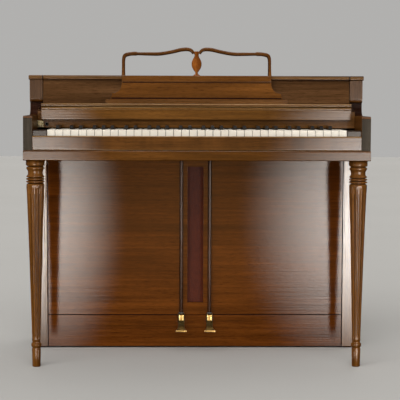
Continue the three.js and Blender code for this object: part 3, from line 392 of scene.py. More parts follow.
# Dark matt walnut of painted shade in the gaps between the lid and its ends and between the keys
gap_shade_wood = matt("gap_shade_walnut", srgb(58, 36, 19), srgb(38, 22, 11), 600.0)
hardboard = matt("hardboard", srgb(122, 86, 56), srgb(92, 62, 39), 900.0)
paper = matt("speaker_paper", srgb(44, 40, 38), srgb(22, 20, 19), 700.0)
rubber = matt("rubber", srgb(30, 30, 30), srgb(16, 16, 16), 500.0, roughness=0.6)
ivory = plastic("ivory_plastic", srgb(224, 217, 203), srgb(219, 211, 196), 0.45, shine=0.15)
ebony = plastic("black_plastic", srgb(22, 17, 14), srgb(12, 9, 7), 0.24, coat=0.3, shine=0.3)
cream = plastic("cream_plastic", srgb(172, 156, 112), srgb(148, 132, 90), 0.4)
brass = metal("brass", srgb(150, 134, 92), srgb(88, 76, 42), 0.28)
bronze = metal("bronze", srgb(104, 84, 52), srgb(66, 52, 34), 0.4)
nickel = metal("nickel", srgb(205, 202, 194), srgb(150, 146, 138), 0.22)
steel = metal("steel", srgb(158, 160, 162), srgb(110, 110, 112), 0.38)
cloth = woven("grille_cloth", srgb(90, 34, 12), srgb(40, 12, 3), 1.6 * MM)

# Widths of the eased edges
BOARD_EASING = 1.2 * MM
SEAM_EASING = 1.5 * MM
SIDE_EASING = 2 * MM
DESK_EASING = 2 * MM
KEY_EASING = 1 * MM
SMALL_EASING = 0.4 * MM
ROD_EASING = 3.4 * MM
FINEST_EASING = 0.1 * MM

# Where the front of a side board changes from arm to hollow to cheek
ARM_TOP = 0.756
SCROLL_TOP = 0.797
SCROLL_BACK = 0
# How far a face's normal has to point one way, or may point to the side in the hollow
FACING = 0.9
ROUNDING_LEAST = 0.35
SCROLL_SIDEWAYS = 0.5
# Points nearer than this are one, and faces that turn by less than this are one
JOINED_REACH = 0.01 * MM
MERGED_REACH = 0.001 * MM
SAME_PLANE = math.radians(1)
FLAT_FACE_WEIGHT = 100
CORNER_STEPS = 3

NATURALS = [f"key_{letter}" for letter in "cdefgab"]


# Tools for shapes
def new_object(name, mesh, materials):
    piece = bpy.data.objects.new(name, mesh)
    bpy.context.scene.collection.objects.link(piece)
    for material in materials:
        mesh.materials.append(material)
    return piece


def bevelled(piece, width, segments=3, angle=30):
    """Eases the edges, with broad faces that stay flat in the light."""
    modifier = piece.modifiers.new("bevel", "BEVEL")
    modifier.width = width
    modifier.segments = segments
    modifier.limit_method = "ANGLE"
    modifier.angle_limit = math.radians(angle)
    piece.data.shade_smooth()
    flat = piece.modifiers.new("flat_faces", "WEIGHTED_NORMAL")
    flat.weight = FLAT_FACE_WEIGHT


def stand_in(piece, node):
    """The piece rides as its node does, and is shown instead of it."""
    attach(piece, body_of(frame["nodes"][node])[0])
    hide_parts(node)


def round_points(count):
    """Cosine and sine of evenly spaced steps round a circle."""
    angles = [2 * math.pi * step / count for step in range(count)]
    return [(math.cos(angle), math.sin(angle)) for angle in angles]


def smooth_mesh(name, work):
    """The finished work as a mesh that is shaded smooth."""
    mesh = bpy.data.meshes.new(name)
    work.to_mesh(mesh)
    work.free()
    mesh.shade_smooth()
    return mesh


def ring_mesh(name, rings, closed_ends=True):
    """A mesh of quads between rings of points, with its ends filled."""
    work = bmesh.new()
    rows = [[work.verts.new(point) for point in ring] for ring in rings]
    count = len(rows[0])
    for low, high in zip(rows, rows[1:]):
        for step in range(count):
            after = (step + 1) % count
            work.faces.new((low[step], low[after], high[after], high[step]))
    if closed_ends:
        work.faces.new(list(reversed(rows[0])))
        work.faces.new(rows[-1])
    bmesh.ops.recalc_face_normals(work, faces=work.faces)
    return smooth_mesh(name, work)


def merged(meshes):
    """Several meshes as one, with doubled points removed."""
    work = bmesh.new()
    for part in meshes:
        work.from_mesh(part)
        bpy.data.meshes.remove(part)
    bmesh.ops.remove_doubles(work, verts=work.verts, dist=MERGED_REACH)
    bmesh.ops.recalc_face_normals(work, faces=work.faces)
    return smooth_mesh("merged", work)


def rounded_section(half_width, half_height, corner):
    """Points of a rectangle with rounded corners, round its middle."""
    points = []
    for turn, (across, up) in enumerate(((1, 1), (-1, 1), (-1, -1), (1, -1))):
        for step in range(CORNER_STEPS + 1):
            angle = math.pi / 2 * (turn + step / CORNER_STEPS)
            points.append((
                across * (half_width - corner) + corner * math.cos(angle),
                up * (half_height - corner) + corner * math.sin(angle)))
    return points


def smooth_line(points, steps):
    """Points on a Catmull-Rom curve through the given ones."""
    line = []
    last = len(points) - 1
    for index in range(last):
        corners = [points[min(max(index + shift, 0), last)] for shift in (-1, 0, 1, 2)]
        for step in range(steps):
            t = step / steps
            weights = (
                (-t + 2 * t * t - t ** 3) / 2, (2 - 5 * t * t + 3 * t ** 3) / 2,
                (t + 4 * t * t - 3 * t ** 3) / 2, (t ** 3 - t * t) / 2)
            line.append(tuple(
                sum(weight * corner[axis] for weight, corner in zip(weights, corners))
                for axis in range(len(corners[0]))))
    line.append(tuple(points[last]))
    return line


def run_at(line, index):
    """Which way a line of points runs at one of them, in its first two coordinates."""
    before = line[max(index - 1, 0)]
    after = line[min(index + 1, len(line) - 1)]
    return Vector((after[0] - before[0], after[1] - before[1])).normalized()


# Boards, keys and works: clean copies of the solids with eased edges
def front_face(face):
    return face.normal.y < -FACING


def side_face(face):
    return abs(face.normal.x) > FACING


def inward_face(face):
    """A side face that looks towards the middle of the keyboard."""
    return side_face(face) and face.normal.x * face.calc_center_median().x < 0


def rounded_front(face):
    """A face of the rounding along a front edge."""
    return face.normal.y < -ROUNDING_LEAST and abs(face.normal.z) > ROUNDING_LEAST


# The arms' fronts, whose grey tone is a painted reflection
def arm_face(face):
    return front_face(face) and face.calc_center_median().z < ARM_TOP


def cheek_face(face):
    """The upright front of a cheek, over the hollow, with part of its sheen painted into its colour."""
    return front_face(face) and face.calc_center_median().z > SCROLL_TOP


def scroll_face(face):
    """The hollow under the cheek and the face behind the arm, which take painted shade."""
    middle = face.calc_center_median()
    in_hollow = ARM_TOP < middle.z < SCROLL_TOP and middle.y < SCROLL_BACK
    return in_hollow and abs(face.normal.x) < SCROLL_SIDEWAYS


def dressed(node, material, width, segments=3, others=(), edge_material=None):
    """A clean copy of a node's solid with eased edges, in place of the node.

    Others are pairs of a test and the material of the faces that pass it."""
    work = bmesh.new()
    work.from_mesh(frame["nodes"][node].data)
    bmesh.ops.remove_doubles(work, verts=work.verts, dist=JOINED_REACH)
    bmesh.ops.dissolve_limit(work, angle_limit=SAME_PLANE, verts=work.verts, edges=work.edges)
    for face in work.faces:
        face.material_index = 0
        for index, (chosen, finish) in enumerate(others):
            if chosen(face):
                face.material_index = index + 1
    materials = [material] + [finish for chosen, finish in others]
    if edge_material:
        materials.append(edge_material)
    piece = new_object("dressed_" + node, smooth_mesh(node, work), materials)
    bevelled(piece, width, segments)
    if edge_material:
        piece.modifiers["bevel"].material = len(materials) - 1
    stand_in(piece, node)


def dress_rounded_boards():
    """Boards whose rounded front edge is pale: partly rubbed wear, partly a painted highlight."""
    finishes = {
        "key_slip": slip_wood, "fixed_shelf": shelf_wood, "fallboard": fallboard_wood,
        "desk_ledge": ledge_wood,
    }
    for node, material in finishes.items():
        dressed(node, material, BOARD_EASING, others=((rounded_front, worn_highlight_wood),))


def dress_plain_boards():
    finishes = {
        "keybed": case_wood, "nameboard": nameboard_wood, "lid_rear_rail": top_wood,
        "upper_front_panel": top_wood, "grille_frame": panel_wood,
        "key_block_left": block_wood, "key_block_right": block_wood,
    }
    for node, material in finishes.items():
        dressed(node, material, BOARD_EASING)


def dress_lower_case():
    """Boards whose eased edges carry painted shade, so that their seams show."""
    finishes = {
        "lower_side_left": lower_side_wood, "lower_side_right": lower_side_wood,
        "lower_panel_left": panel_wood, "lower_panel_right": panel_wood, "plinth_rail": plinth_wood,
    }
    for node, material in finishes.items():
        dressed(node, material, SEAM_EASING, edge_material=painted_shade_wood)


def dress_upper_sides():
    # The arms' and cheeks' fronts take a painted sheen, the hollow between them painted shade, and the
    # eased edges a pale tone of wear and painted highlight
    fronts = ((arm_face, arm_sheen_wood), (scroll_face, painted_shade_wood), (cheek_face, cheek_sheen_wood))
    for node in ("upper_side_left", "upper_side_right"):
        dressed(node, side_wood, SIDE_EASING, others=fronts, edge_material=worn_highlight_wood)


def dress_top():
    """The lid and its ends, with painted light on their front faces and painted shade on the faces
    where they face each other.
    """
    gap_faces = {"lid": side_face, "lid_end_left": inward_face, "lid_end_right": inward_face}
    for node, gap_face in gap_faces.items():
        dressed(
            node, top_wood, BOARD_EASING, others=((front_face, lid_front_lit_wood), (gap_face, gap_shade_wood)))


def dress_works():
    finishes = {
        "key_frame": spruce, "hammer_rail": spruce, "reed_bar": steel, "amplifier": steel,
        "pedal_bracket": steel, "bottom_board": hardboard, "back_panel": hardboard,
        "speaker": paper, "cord_gland": rubber, "control_plate": cream, "headphone_jack": rubber,
    }
    for node, material in finishes.items():
        dressed(node, material, SMALL_EASING, 2)


def dress_keys():
    for node in frame["nodes"]:
        if node.startswith("naturals") or node in NATURALS:
            # The naturals' sides take dark walnut: painted shade in the gaps between the keys
            dressed(node, ivory, KEY_EASING, others=((side_face, gap_shade_wood),))
        elif node.startswith("sharps") or node.endswith("_sharp"):
            dressed(node, ebony, KEY_EASING)


# Legs: heights, radii and flute depths, as shares of the height, the collar and a full flute
LEG_STATION_SHARES = [
    (0, 0.4, 0), (0.004, 0.43, 0), (0.088, 0.48, 0), (0.09, 0.44, 0), (0.094, 0.43, 0),
    (0.097, 0.5, 0), (0.102, 0.545, 0), (0.107, 0.55, 0), (0.112, 0.53, 0), (0.115, 0.46, 0),
    (0.12, 0.41, 0), (0.124, 0.42, 0), (0.127, 0.46, 0), (0.135, 0.455, 0.2), (0.15, 0.46, 1),
    (0.32, 0.56, 1), (0.5, 0.67, 1), (0.68, 0.79, 1), (0.84, 0.92, 1), (0.862, 0.95, 0.9),
    (0.872, 0.96, 0.5), (0.879, 0.955, 0.1), (0.884, 0.94, 0), (0.888, 0.86, 0), (0.89, 0.72, 0),
    (0.892, 0.86, 0), (0.895, 0.98, 0), (0.899, 0.98, 0), (0.901, 0.86, 0), (0.903, 0.72, 0),
    (0.905, 0.86, 0), (0.908, 0.98, 0), (0.912, 0.98, 0), (0.914, 0.86, 0), (0.916, 0.72, 0),
    (0.918, 0.86, 0), (0.921, 0.96, 0), (0.924, 0.96, 0), (0.926, 0.88, 0), (0.929, 0.82, 0),
    (0.933, 0.79, 0), (0.939, 0.78, 0), (0.946, 0.79, 0), (0.951, 0.83, 0), (0.955, 0.88, 0),
    (0.958, 0.93, 0), (0.962, 0.96, 0), (0.966, 0.94, 0), (0.969, 0.84, 0), (0.971, 0.72, 0),
    (0.973, 0.9, 0), (0.976, 0.98, 0), (0.981, 1, 0), (1, 1, 0),
]
LEG_FLUTES = 10
POINTS_PER_FLUTE = 12
FLUTE_DEPTH_SHARE = 0.14
# The steps across a flute that lie at its bottom, and where the grooves between beads are; both take
# painted shade
FLUTE_MIDDLE = (5, 6)
LEG_GROOVES_FROM = 0.88
LEG_GROOVE_SHARE = 0.73


def leg_face_is_hollow(row, step):
    """Whether a face of the leg lies at the bottom of a flute or of a groove between beads, where shade
    is painted.
    """
    below, above = LEG_STATION_SHARES[row:row + 2]
    in_flute = below[2] == 1 and above[2] == 1 and step % POINTS_PER_FLUTE in FLUTE_MIDDLE
    in_groove = below[0] > LEG_GROOVES_FROM and min(below[1], above[1]) < LEG_GROOVE_SHARE
    return in_flute or in_groove


def turned_leg(node):
    low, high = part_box(node)
    centre = (low + high) / 2
    collar = (high.x - low.x) / 2
    height = high.z - low.z
    around = LEG_FLUTES * POINTS_PER_FLUTE
    rings = []
    for height_share, radius_share, flute in LEG_STATION_SHARES:
        ring = []
        for step, (cosine, sine) in enumerate(round_points(around)):
            hollow = math.sin(math.pi * (step % POINTS_PER_FLUTE) / POINTS_PER_FLUTE)
            radius = collar * radius_share * (1 - flute * FLUTE_DEPTH_SHARE * hollow)
            ring.append((
                centre.x + radius * cosine, centre.y + radius * sine, low.z + height_share * height))
        rings.append(ring)
    mesh = ring_mesh(node, rings)
    piece = new_object("turned_" + node, mesh, [leg_wood, hollow_shade_wood])
    # Faces at the bottoms of flutes and grooves take the darker walnut as painted shade
    for face in mesh.polygons[:around * (len(rings) - 1)]:
        face.material_index = int(leg_face_is_hollow(*divmod(face.index, around)))
    stand_in(piece, node)


# Pedals: where the middle line of the toe runs, in Y and Z, and its half width there, all in
# millimetres from the pivot
PEDAL_TOE_LINE = [
    (-67, -4, 10), (-75, -6, 10), (-82, -13, 10), (-89, -20, 10), (-98, -23.6, 10.4),
    (-110, -24.4, 11.6), (-125, -24.8, 13.4), (-139, -25, 15.6), (-147, -25, 17),
]
PEDAL_MIDDLES = {"left": -45.5 * MM, "right": 45.5 * MM}
PEDAL_PIVOT_Y = 0.115
PEDAL_PIVOT_Z = 0.098
PEDAL_FRONT_Y = -0.035
PEDAL_THICKNESS = 6 * MM
PEDAL_CHAMFER = 0.9 * MM
TOE_HALF_WIDTH = 17.5 * MM
TOE_CORNER = 1.6 * MM
TOE_END_CORNER = 1 * MM
# The boss under the rod: where its sections stand and how far they are inset, so that it swells
BOSS_STATIONS = [
    (72 * MM, 0.9 * MM), (71.1 * MM, 0), (46 * MM, 0), (43.8 * MM, 0.5 * MM),
    (42.2 * MM, 1.3 * MM), (41.1 * MM, 2.6 * MM), (40.4 * MM, 4.4 * MM), (40 * MM, 6.6 * MM),
]
BOSS_HALF_WIDTH = 10.2 * MM
BOSS_HALF_HEIGHT = 12.5 * MM
BOSS_MIDDLE = 102.4 * MM
BOSS_CORNER = 2.4 * MM
SHANK_FRONT_Y = 0.066
SHANK_REAR_Y = 0.107
SHANK_HALF_WIDTH = 5 * MM
SHANK_HALF_HEIGHT = 6 * MM
SHANK_CORNER = 1.2 * MM
HUB_OUTER = 9 * MM
HUB_INNER = 3.6 * MM
HUB_HALF_WIDTH = 5 * MM
HUB_SIDES = 28
# The pad on the boss, under the rod
PAD_Y = 0.066
PAD_TOP = 118 * MM
PAD_HALF_WIDTH = 7 * MM
PAD_HALF_DEPTH = 5.5 * MM
PAD_CORNER = 1.5 * MM
PAD_ROUNDING = 0.5 * MM


def toe_mesh(middle_x):
    """The neck that drops from the boss and widens to the toe."""
    half_thick = PEDAL_THICKNESS / 2
    line = [
        (PEDAL_PIVOT_Y + y * MM, PEDAL_PIVOT_Z + z * MM, half * MM) for y, z, half in PEDAL_TOE_LINE]
    last_z = line[-1][1]
    line.append((PEDAL_FRONT_Y + PEDAL_CHAMFER, last_z, TOE_HALF_WIDTH))
    rings = []
    for index, (y, z, half) in enumerate(line):
        run = run_at(line, index)
        upright = Vector((0, run.y, -run.x))
        if upright.z < 0:
            upright = -upright
        rings.append([
            Vector((middle_x + across, y, z)) + upright * up
            for across, up in rounded_section(half, half_thick, TOE_CORNER)])
    end = rounded_section(
        TOE_HALF_WIDTH - PEDAL_CHAMFER, half_thick - PEDAL_CHAMFER, TOE_END_CORNER)
    rings.append([Vector((middle_x + across, PEDAL_FRONT_Y, last_z + up)) for across, up in end])
    return ring_mesh("toe", rings)


def boss_mesh(middle_x):
    rings = []
    for y, inset in BOSS_STATIONS:
        section = rounded_section(BOSS_HALF_WIDTH - inset, BOSS_HALF_HEIGHT - inset, BOSS_CORNER)
        rings.append([(middle_x + across, y, BOSS_MIDDLE + up) for across, up in section])
    return ring_mesh("boss", rings)


def shank_mesh(middle_x):
    """The bar that runs back from the boss to the hub."""
    section = rounded_section(SHANK_HALF_WIDTH, SHANK_HALF_HEIGHT, SHANK_CORNER)
    rings = []
    for y in (SHANK_FRONT_Y, SHANK_REAR_Y):
        rings.append([(middle_x + across, y, PEDAL_PIVOT_Z + up) for across, up in section])
    return ring_mesh("shank", rings)


def hub_mesh(middle_x):
    """A ring round the pivot pin."""
    outline = [
        (HUB_OUTER, -HUB_HALF_WIDTH), (HUB_OUTER, HUB_HALF_WIDTH), (HUB_INNER, HUB_HALF_WIDTH),
        (HUB_INNER, -HUB_HALF_WIDTH), (HUB_OUTER, -HUB_HALF_WIDTH)]
    rings = []
    for radius, across in outline:
        rings.append([
            (middle_x + across, PEDAL_PIVOT_Y + radius * cosine, PEDAL_PIVOT_Z + radius * sine)
            for cosine, sine in round_points(HUB_SIDES)])
    return ring_mesh("hub", rings, closed_ends=False)


def pedal(side, middle_x):
    parts = [toe_mesh(middle_x), boss_mesh(middle_x), shank_mesh(middle_x), hub_mesh(middle_x)]
    piece = new_object("pedal_casting_" + side, merged(parts), [brass])
    bevelled(piece, SMALL_EASING, 2, 50)
    stand_in(piece, "pedal_" + side)


def pedal_pad(side, middle_x):
    stations = (
        (BOSS_MIDDLE + BOSS_HALF_HEIGHT, 0), (PAD_TOP - PAD_ROUNDING, 0), (PAD_TOP, PAD_ROUNDING))
    rings = []
    for z, inset in stations:
        section = rounded_section(PAD_HALF_WIDTH - inset, PAD_HALF_DEPTH - inset, PAD_CORNER)
        rings.append([(middle_x + across, PAD_Y + depth, z) for across, depth in section])
    pad = new_object("pedal_pad_" + side, ring_mesh("pad", rings), [paper])
    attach(pad, "pedal_" + side)


# Screws: the lines of points over a domed head, its slot and its fall, as shares of the radius and
# the height, and how much further each slot is turned than the one before
SCREW_LINE_SHARES = [-0.98, -0.85, -0.65, -0.4, -0.17, -0.16, 0.16, 0.17, 0.4, 0.65, 0.85, 0.98]
SCREW_ROWS = 10
SCREW_SLOT_SHARE = 0.16
SCREW_SLOT_DEPTH_SHARE = 0.6
SCREW_FALL_SHARE = 0.6
SCREW_TURN = 2.39
SCREW_EASING = 0.12 * MM
BACK_SCREW_RADIUS = 3.5 * MM
BACK_SCREW_HEIGHT = 1.1 * MM
BACK_SCREW_MARGIN = 16 * MM
BACK_SCREW_COLUMNS = 9
BACK_SCREW_MIDDLE_Z = 0.638
BACK_SCREW_SIDE_SHARES = (1 / 7, 2 / 7, 3 / 7, 5 / 7, 6 / 7)
HINGE_SCREW_RADIUS = 2.6 * MM
HINGE_SCREW_HEIGHT = 0.6 * MM
HINGE_SCREW_SETBACK = 9 * MM
HINGE_SCREW_COUNT = 10


def screw_mesh(radius, height, slot_turn):
    """A slotted screw head that lies on the plane z = 0 and faces up."""
    work = bmesh.new()
    grid = []
    for across in SCREW_LINE_SHARES:
        reach = math.sqrt(1 - across * across)
        line = []
        for row in range(SCREW_ROWS + 1):
            along = -reach + 2 * reach * row / SCREW_ROWS
            dome = height * (1 - SCREW_FALL_SHARE * (across * across + along * along))
            if abs(across) <= SCREW_SLOT_SHARE:
                dome -= SCREW_SLOT_DEPTH_SHARE * height
            place = Vector((across * radius, along * radius, dome))
            place.rotate(Matrix.Rotation(slot_turn, 3, "Z"))
            line.append(work.verts.new(place))
        grid.append(line)
    for left, right in zip(grid, grid[1:]):
        for row in range(SCREW_ROWS):
            work.faces.new((left[row], right[row], right[row + 1], left[row + 1]))
    rim = grid[0] + [line[-1] for line in grid[1:-1]]
    rim += grid[-1][::-1] + [line[0] for line in grid[-2:0:-1]]
    foot = [work.verts.new((point.co.x, point.co.y, 0)) for point in rim]
    for step in range(len(rim)):
        work.faces.new((rim[step - 1], rim[step], foot[step], foot[step - 1]))
    work.faces.new(foot)
    bmesh.ops.recalc_face_normals(work, faces=work.faces)
    return smooth_mesh("screw", work)


def screws(name, places, facing, radius, height, material):
    """Screws on one face of the case, each slot left at its own angle."""
    turn = Vector(facing).to_track_quat("Z", "Y").to_matrix().to_4x4()
    parts = []
    for index, place in enumerate(places):
        mesh = screw_mesh(radius, height, SCREW_TURN * index)
        mesh.transform(Matrix.Translation(place) @ turn)
        parts.append(mesh)
    piece = new_object(name, merged(parts), [material])
    bevelled(piece, SCREW_EASING, 1, 40)
    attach(piece, "case")


def back_screws():
    """Screws round the edge of the back panel and along the keybed behind it."""
    low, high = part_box("back_panel")
    left = low.x + BACK_SCREW_MARGIN
    right = high.x - BACK_SCREW_MARGIN
    bottom = low.z + BACK_SCREW_MARGIN
    top = high.z - BACK_SCREW_MARGIN
    places = []
    for column in range(BACK_SCREW_COLUMNS):
        x = left + (right - left) * column / (BACK_SCREW_COLUMNS - 1)
        for z in (bottom, BACK_SCREW_MIDDLE_Z, top):
            places.append((x, high.y, z))
    for side in (left, right):
        for share in BACK_SCREW_SIDE_SHARES:
            places.append((side, high.y, bottom + (top - bottom) * share))
    screws(
        "back_screws", places, (0, 1, 0), BACK_SCREW_RADIUS, BACK_SCREW_HEIGHT, nickel)


# Hinge of the top
KNUCKLE_LENGTH = 25 * MM
KNUCKLE_GAP = 0.5 * MM
KNUCKLE_END = 0.3 * MM
KNUCKLE_END_SHARE = 0.86
KNUCKLE_SIDES = 14
HINGE_LEAF_THICKNESS = 1.2 * MM
HINGE_EASING = 0.15 * MM


def knuckle_mesh(start, stop, axis_y, axis_z, radius):
    stations = (
        (start, KNUCKLE_END_SHARE), (start + KNUCKLE_END, 1), (stop - KNUCKLE_END, 1),
        (stop, KNUCKLE_END_SHARE))
    rings = []
    for x, share in stations:
        rings.append([
            (x, axis_y + radius * share * cosine, axis_z + radius * share * sine)
            for cosine, sine in round_points(KNUCKLE_SIDES)])
    return ring_mesh("knuckle", rings)


def knuckled_hinge():
    """The long hinge of the top: knuckles on one pin and a leaf."""
    low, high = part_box("lid_hinge")
    radius = (high.z - low.z) / 2
    axis_y = low.y + radius
    axis_z = low.z + radius
    count = int((high.x - low.x) / KNUCKLE_LENGTH)
    step = (high.x - low.x) / count
    parts = []
    for index in range(count):
        start = low.x + index * step + KNUCKLE_GAP / 2
        parts.append(knuckle_mesh(start, start + step - KNUCKLE_GAP, axis_y, axis_z, radius))
    leaf_top = low.z + HINGE_LEAF_THICKNESS
    rings = []
    for x in (low.x, high.x):
        rings.append([
            (x, axis_y, low.z), (x, high.y, low.z), (x, high.y, leaf_top), (x, axis_y, leaf_top)])
    parts.append(ring_mesh("leaf", rings))
    piece = new_object("knuckled_hinge", merged(parts), [bronze])
    bevelled(piece, HINGE_EASING, 1, 50)
    stand_in(piece, "lid_hinge")


def hinge_screws():
    low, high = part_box("lid_hinge")
    pitch = (high.x - low.x) / HINGE_SCREW_COUNT
    y = low.y + (high.z - low.z) / 2 + HINGE_SCREW_SETBACK
    z = low.z + HINGE_LEAF_THICKNESS
    places = [(low.x + pitch * (index + 0.5), y, z) for index in range(HINGE_SCREW_COUNT)]
    screws(
        "hinge_screws", places, (0, 0, 1), HINGE_SCREW_RADIUS, HINGE_SCREW_HEIGHT, bronze)


# Music desk
DESK_LEAN = math.radians(10)
DESK_SLOPE = Matrix.Rotation(-DESK_LEAN, 3, "X")
DESK_THICKNESS = 9 * MM
# Half of the crest's middle line, as shares of its half width and height, with its breadth there
CREST_SHARES = [
    (1, 0, 1.25), (1, 0.06, 1), (1, 0.35, 0.9), (0.998, 0.6, 0.95), (0.975, 0.735, 1.1),
    (0.9, 0.785, 1.05), (0.83, 0.795, 1.1), (0.795, 0.79, 0.85), (0.64, 0.785, 0.95),
    (0.5, 0.79, 1), (0.34, 0.86, 1), (0.22, 0.935, 1.05), (0.14, 0.955, 1.05),
    (0.09, 0.935, 1), (0.058, 0.875, 0.9), (0.044, 0.8, 0.7),
]
CREST_STEPS = 6
CREST_SIDES = 16
CREST_HALF_BAR = 5.6 * MM
CREST_LOWERED = 1.2 * MM
# Less than 1 makes the rail's section squarer, and painted shade on its inner side starts at this share
# of its reach
CREST_ROUNDNESS = 0.7
CREST_INNER_SHARE = 0.45
# Painted shadow lines across the desk: half length, lower and upper edge up the slope
DESK_SHADOW_LINES = [(0.2285, 0.0532, 0.0558), (0.262, 0.0034, 0.0076)]
DESK_SHADOW_LINE_PROUD = 0.3 * MM
# Leaf ornament: heights and half widths, as shares of its height and half width
LEAF_SHARES = [
    (0, 0.86), (0.03, 0.7), (0.07, 0.46), (0.11, 0.3), (0.15, 0.25), (0.19, 0.3), (0.24, 0.46),
    (0.32, 0.68), (0.42, 0.88), (0.52, 0.98), (0.6, 1), (0.68, 0.96), (0.76, 0.86), (0.84, 0.7),
    (0.91, 0.54), (0.97, 0.44), (1.04, 0.42), (1.11, 0.5), (1.17, 0.58), (1.2, 0.5),
]
LEAF_STEPS = 3
LEAF_COLUMNS = 16
LEAF_THICKNESS = 11 * MM
# The blade over the stem: where it starts, how soon it is full, and how soon it ends at the top
LEAF_BLADE_FOOT = 0.19
LEAF_BLADE_RISE = 0.2
LEAF_BLADE_END = 0.1
# Its middle rib and its veins, as shares of half its thickness and of its half width
LEAF_RIB_SHARE = 0.12
LEAF_RIB_WIDTH = 0.12
LEAF_VEIN_SHARE = 0.05
LEAF_VEIN_TURNS = 40
LEAF_VEIN_SLANT = 0.25
LEAF_THINNEST = 0.55
LEAF_FULLEST = 1.15


def desk_foot(node, thickness):
    """The lowest front corner of a node that leans with the desk, and its height up the slope."""
    low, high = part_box(node)
    drop = thickness * math.sin(DESK_LEAN)
    height = (high.z - low.z - drop) / math.cos(DESK_LEAN)
    return Vector((0, low.y, low.z + drop)), height


def rounded_reach(value):
    """A cosine or sine, for a section that is squarer than a circle."""
    return math.copysign(abs(value) ** CREST_ROUNDNESS, value)


def crest_half(side, foot, height, half_span):
    """One side of the crest's rail with its post, with painted shade along the side inside the opening.
    """
    line = smooth_line([
        (side * across * half_span, up * height, wide * CREST_HALF_BAR)
        for across, up, wide in CREST_SHARES], CREST_STEPS)
    rings = []
    for index, (across, up, half) in enumerate(line):
        run = run_at(line, index)
        ring = []
        for cosine, sine in round_points(CREST_SIDES):
            out = half * rounded_reach(cosine)
            depth = DESK_THICKNESS / 2 * (1 + rounded_reach(sine))
            ring.append(foot + DESK_SLOPE @ Vector((across - run.y * out, depth, up + run.x * out)))
        rings.append(ring)
    mesh = ring_mesh("crest", rings)
    for face in mesh.polygons[:CREST_SIDES * (len(rings) - 1)]:
        middle = 2 * math.pi * (face.index % CREST_SIDES + 0.5) / CREST_SIDES
        face.material_index = int(side * math.cos(middle) > CREST_INNER_SHARE)
    return mesh


def crest():
    """A slim rounded rail that rises twice and turns down to the leaf, on two posts."""
    foot, height = desk_foot("desk_crest", DESK_THICKNESS)
    low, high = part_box("desk_crest")
    half_span = (high.x - low.x) / 2 - CREST_HALF_BAR
    parts = [crest_half(side, foot, height - CREST_LOWERED, half_span) for side in (-1, 1)]
    piece = new_object("crest_rail", merged(parts), [desk_wood, hollow_shade_wood])
    stand_in(piece, "desk_crest")


def desk_shadow_lines():
    """Dark strips across the desk's panel, under its rail and over its ledge, that paint the shadow
    lines there.
    """
    foot = desk_foot("desk_panel", DESK_THICKNESS)[0]
    parts = []
    for half, low, high in DESK_SHADOW_LINES:
        section = (
            (-DESK_SHADOW_LINE_PROUD, low), (DESK_SHADOW_LINE_PROUD, low), (DESK_SHADOW_LINE_PROUD, high),
            (-DESK_SHADOW_LINE_PROUD, high))
        rings = []
        for across in (-half, half):
            rings.append([foot + DESK_SLOPE @ Vector((across, depth, up)) for depth, up in section])
        parts.append(ring_mesh("line", rings))
    piece = new_object("desk_shadow_lines", merged(parts), [painted_shade_wood])
    bevelled(piece, FINEST_EASING, 1)
    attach(piece, "top_cover")


def leaf_depth(up, wide, across):
    """How far the leaf swells from its middle, as a share of half its thickness."""
    crown = math.sqrt(max(0, 1 - across * across))
    rise = min(1, max(0, (up - LEAF_BLADE_FOOT) / LEAF_BLADE_RISE))
    blade = rise * min(1, max(0, (1 - up) / LEAF_BLADE_END))
    rib = LEAF_RIB_SHARE * blade * math.exp(-(across / LEAF_RIB_WIDTH) ** 2)
    vein = LEAF_VEIN_SHARE * blade * math.cos(LEAF_VEIN_TURNS * (up - LEAF_VEIN_SLANT * abs(across)))
    fullness = LEAF_THINNEST + (1 - LEAF_THINNEST) * wide + rib + vein * crown
    return crown * fullness / LEAF_FULLEST


def leaf_ornament():
    """A plump leaf with a middle rib, on a waisted stem."""
    foot, height = desk_foot("desk_ornament", LEAF_THICKNESS)
    low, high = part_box("desk_ornament")
    half = (high.x - low.x) / 2
    rings = []
    for up, wide in smooth_line(LEAF_SHARES, LEAF_STEPS):
        ring = []
        for face in (-1, 1):
            for column in range(LEAF_COLUMNS):
                across = -face * (2 * column / LEAF_COLUMNS - 1)
                depth = LEAF_THICKNESS / 2 * (1 + face * leaf_depth(up, wide, across))
                ring.append(foot + DESK_SLOPE @ Vector((across * wide * half, depth, up * height)))
        rings.append(ring)
    piece = new_object("leaf_ornament", ring_mesh("leaf", rings), [leaf_wood])
    stand_in(piece, "desk_ornament")


# Knob: depths and radii from its back to its dished face, as shares, and whether they are ribbed
KNOB_STATION_SHARES = [
    (1, 0.96, 0), (0.96, 1, 0), (0.9, 1, 1), (0.12, 0.92, 1), (0.04, 0.88, 0), (0, 0.8, 0),
    (0, 0.68, 0), (0.06, 0.6, 0), (0.08, 0.3, 0),
]
KNOB_RIBS = 20
POINTS_PER_RIB = 4
RIB_DEPTH_SHARE = 0.05


def ribbed_knob():
    """A small knob with fine ribs round its rim and a dished face."""
    low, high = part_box("volume_knob")
    centre = (low + high) / 2
    radius = (high.x - low.x) / 2
    depth = high.y - low.y
    rings = []
    for back, share, ribbed in KNOB_STATION_SHARES:
        ring = []
        for step, (cosine, sine) in enumerate(round_points(KNOB_RIBS * POINTS_PER_RIB)):
            dent = RIB_DEPTH_SHARE * ribbed * (step % POINTS_PER_RIB < POINTS_PER_RIB / 2)
            reach = radius * (share - dent)
            ring.append((centre.x + reach * cosine, low.y + back * depth, centre.z + reach * sine))
        rings.append(ring)
    piece = new_object("ribbed_knob", ring_mesh("knob", rings), [cream])
    bevelled(piece, FINEST_EASING, 1, 40)
    stand_in(piece, "volume_knob")


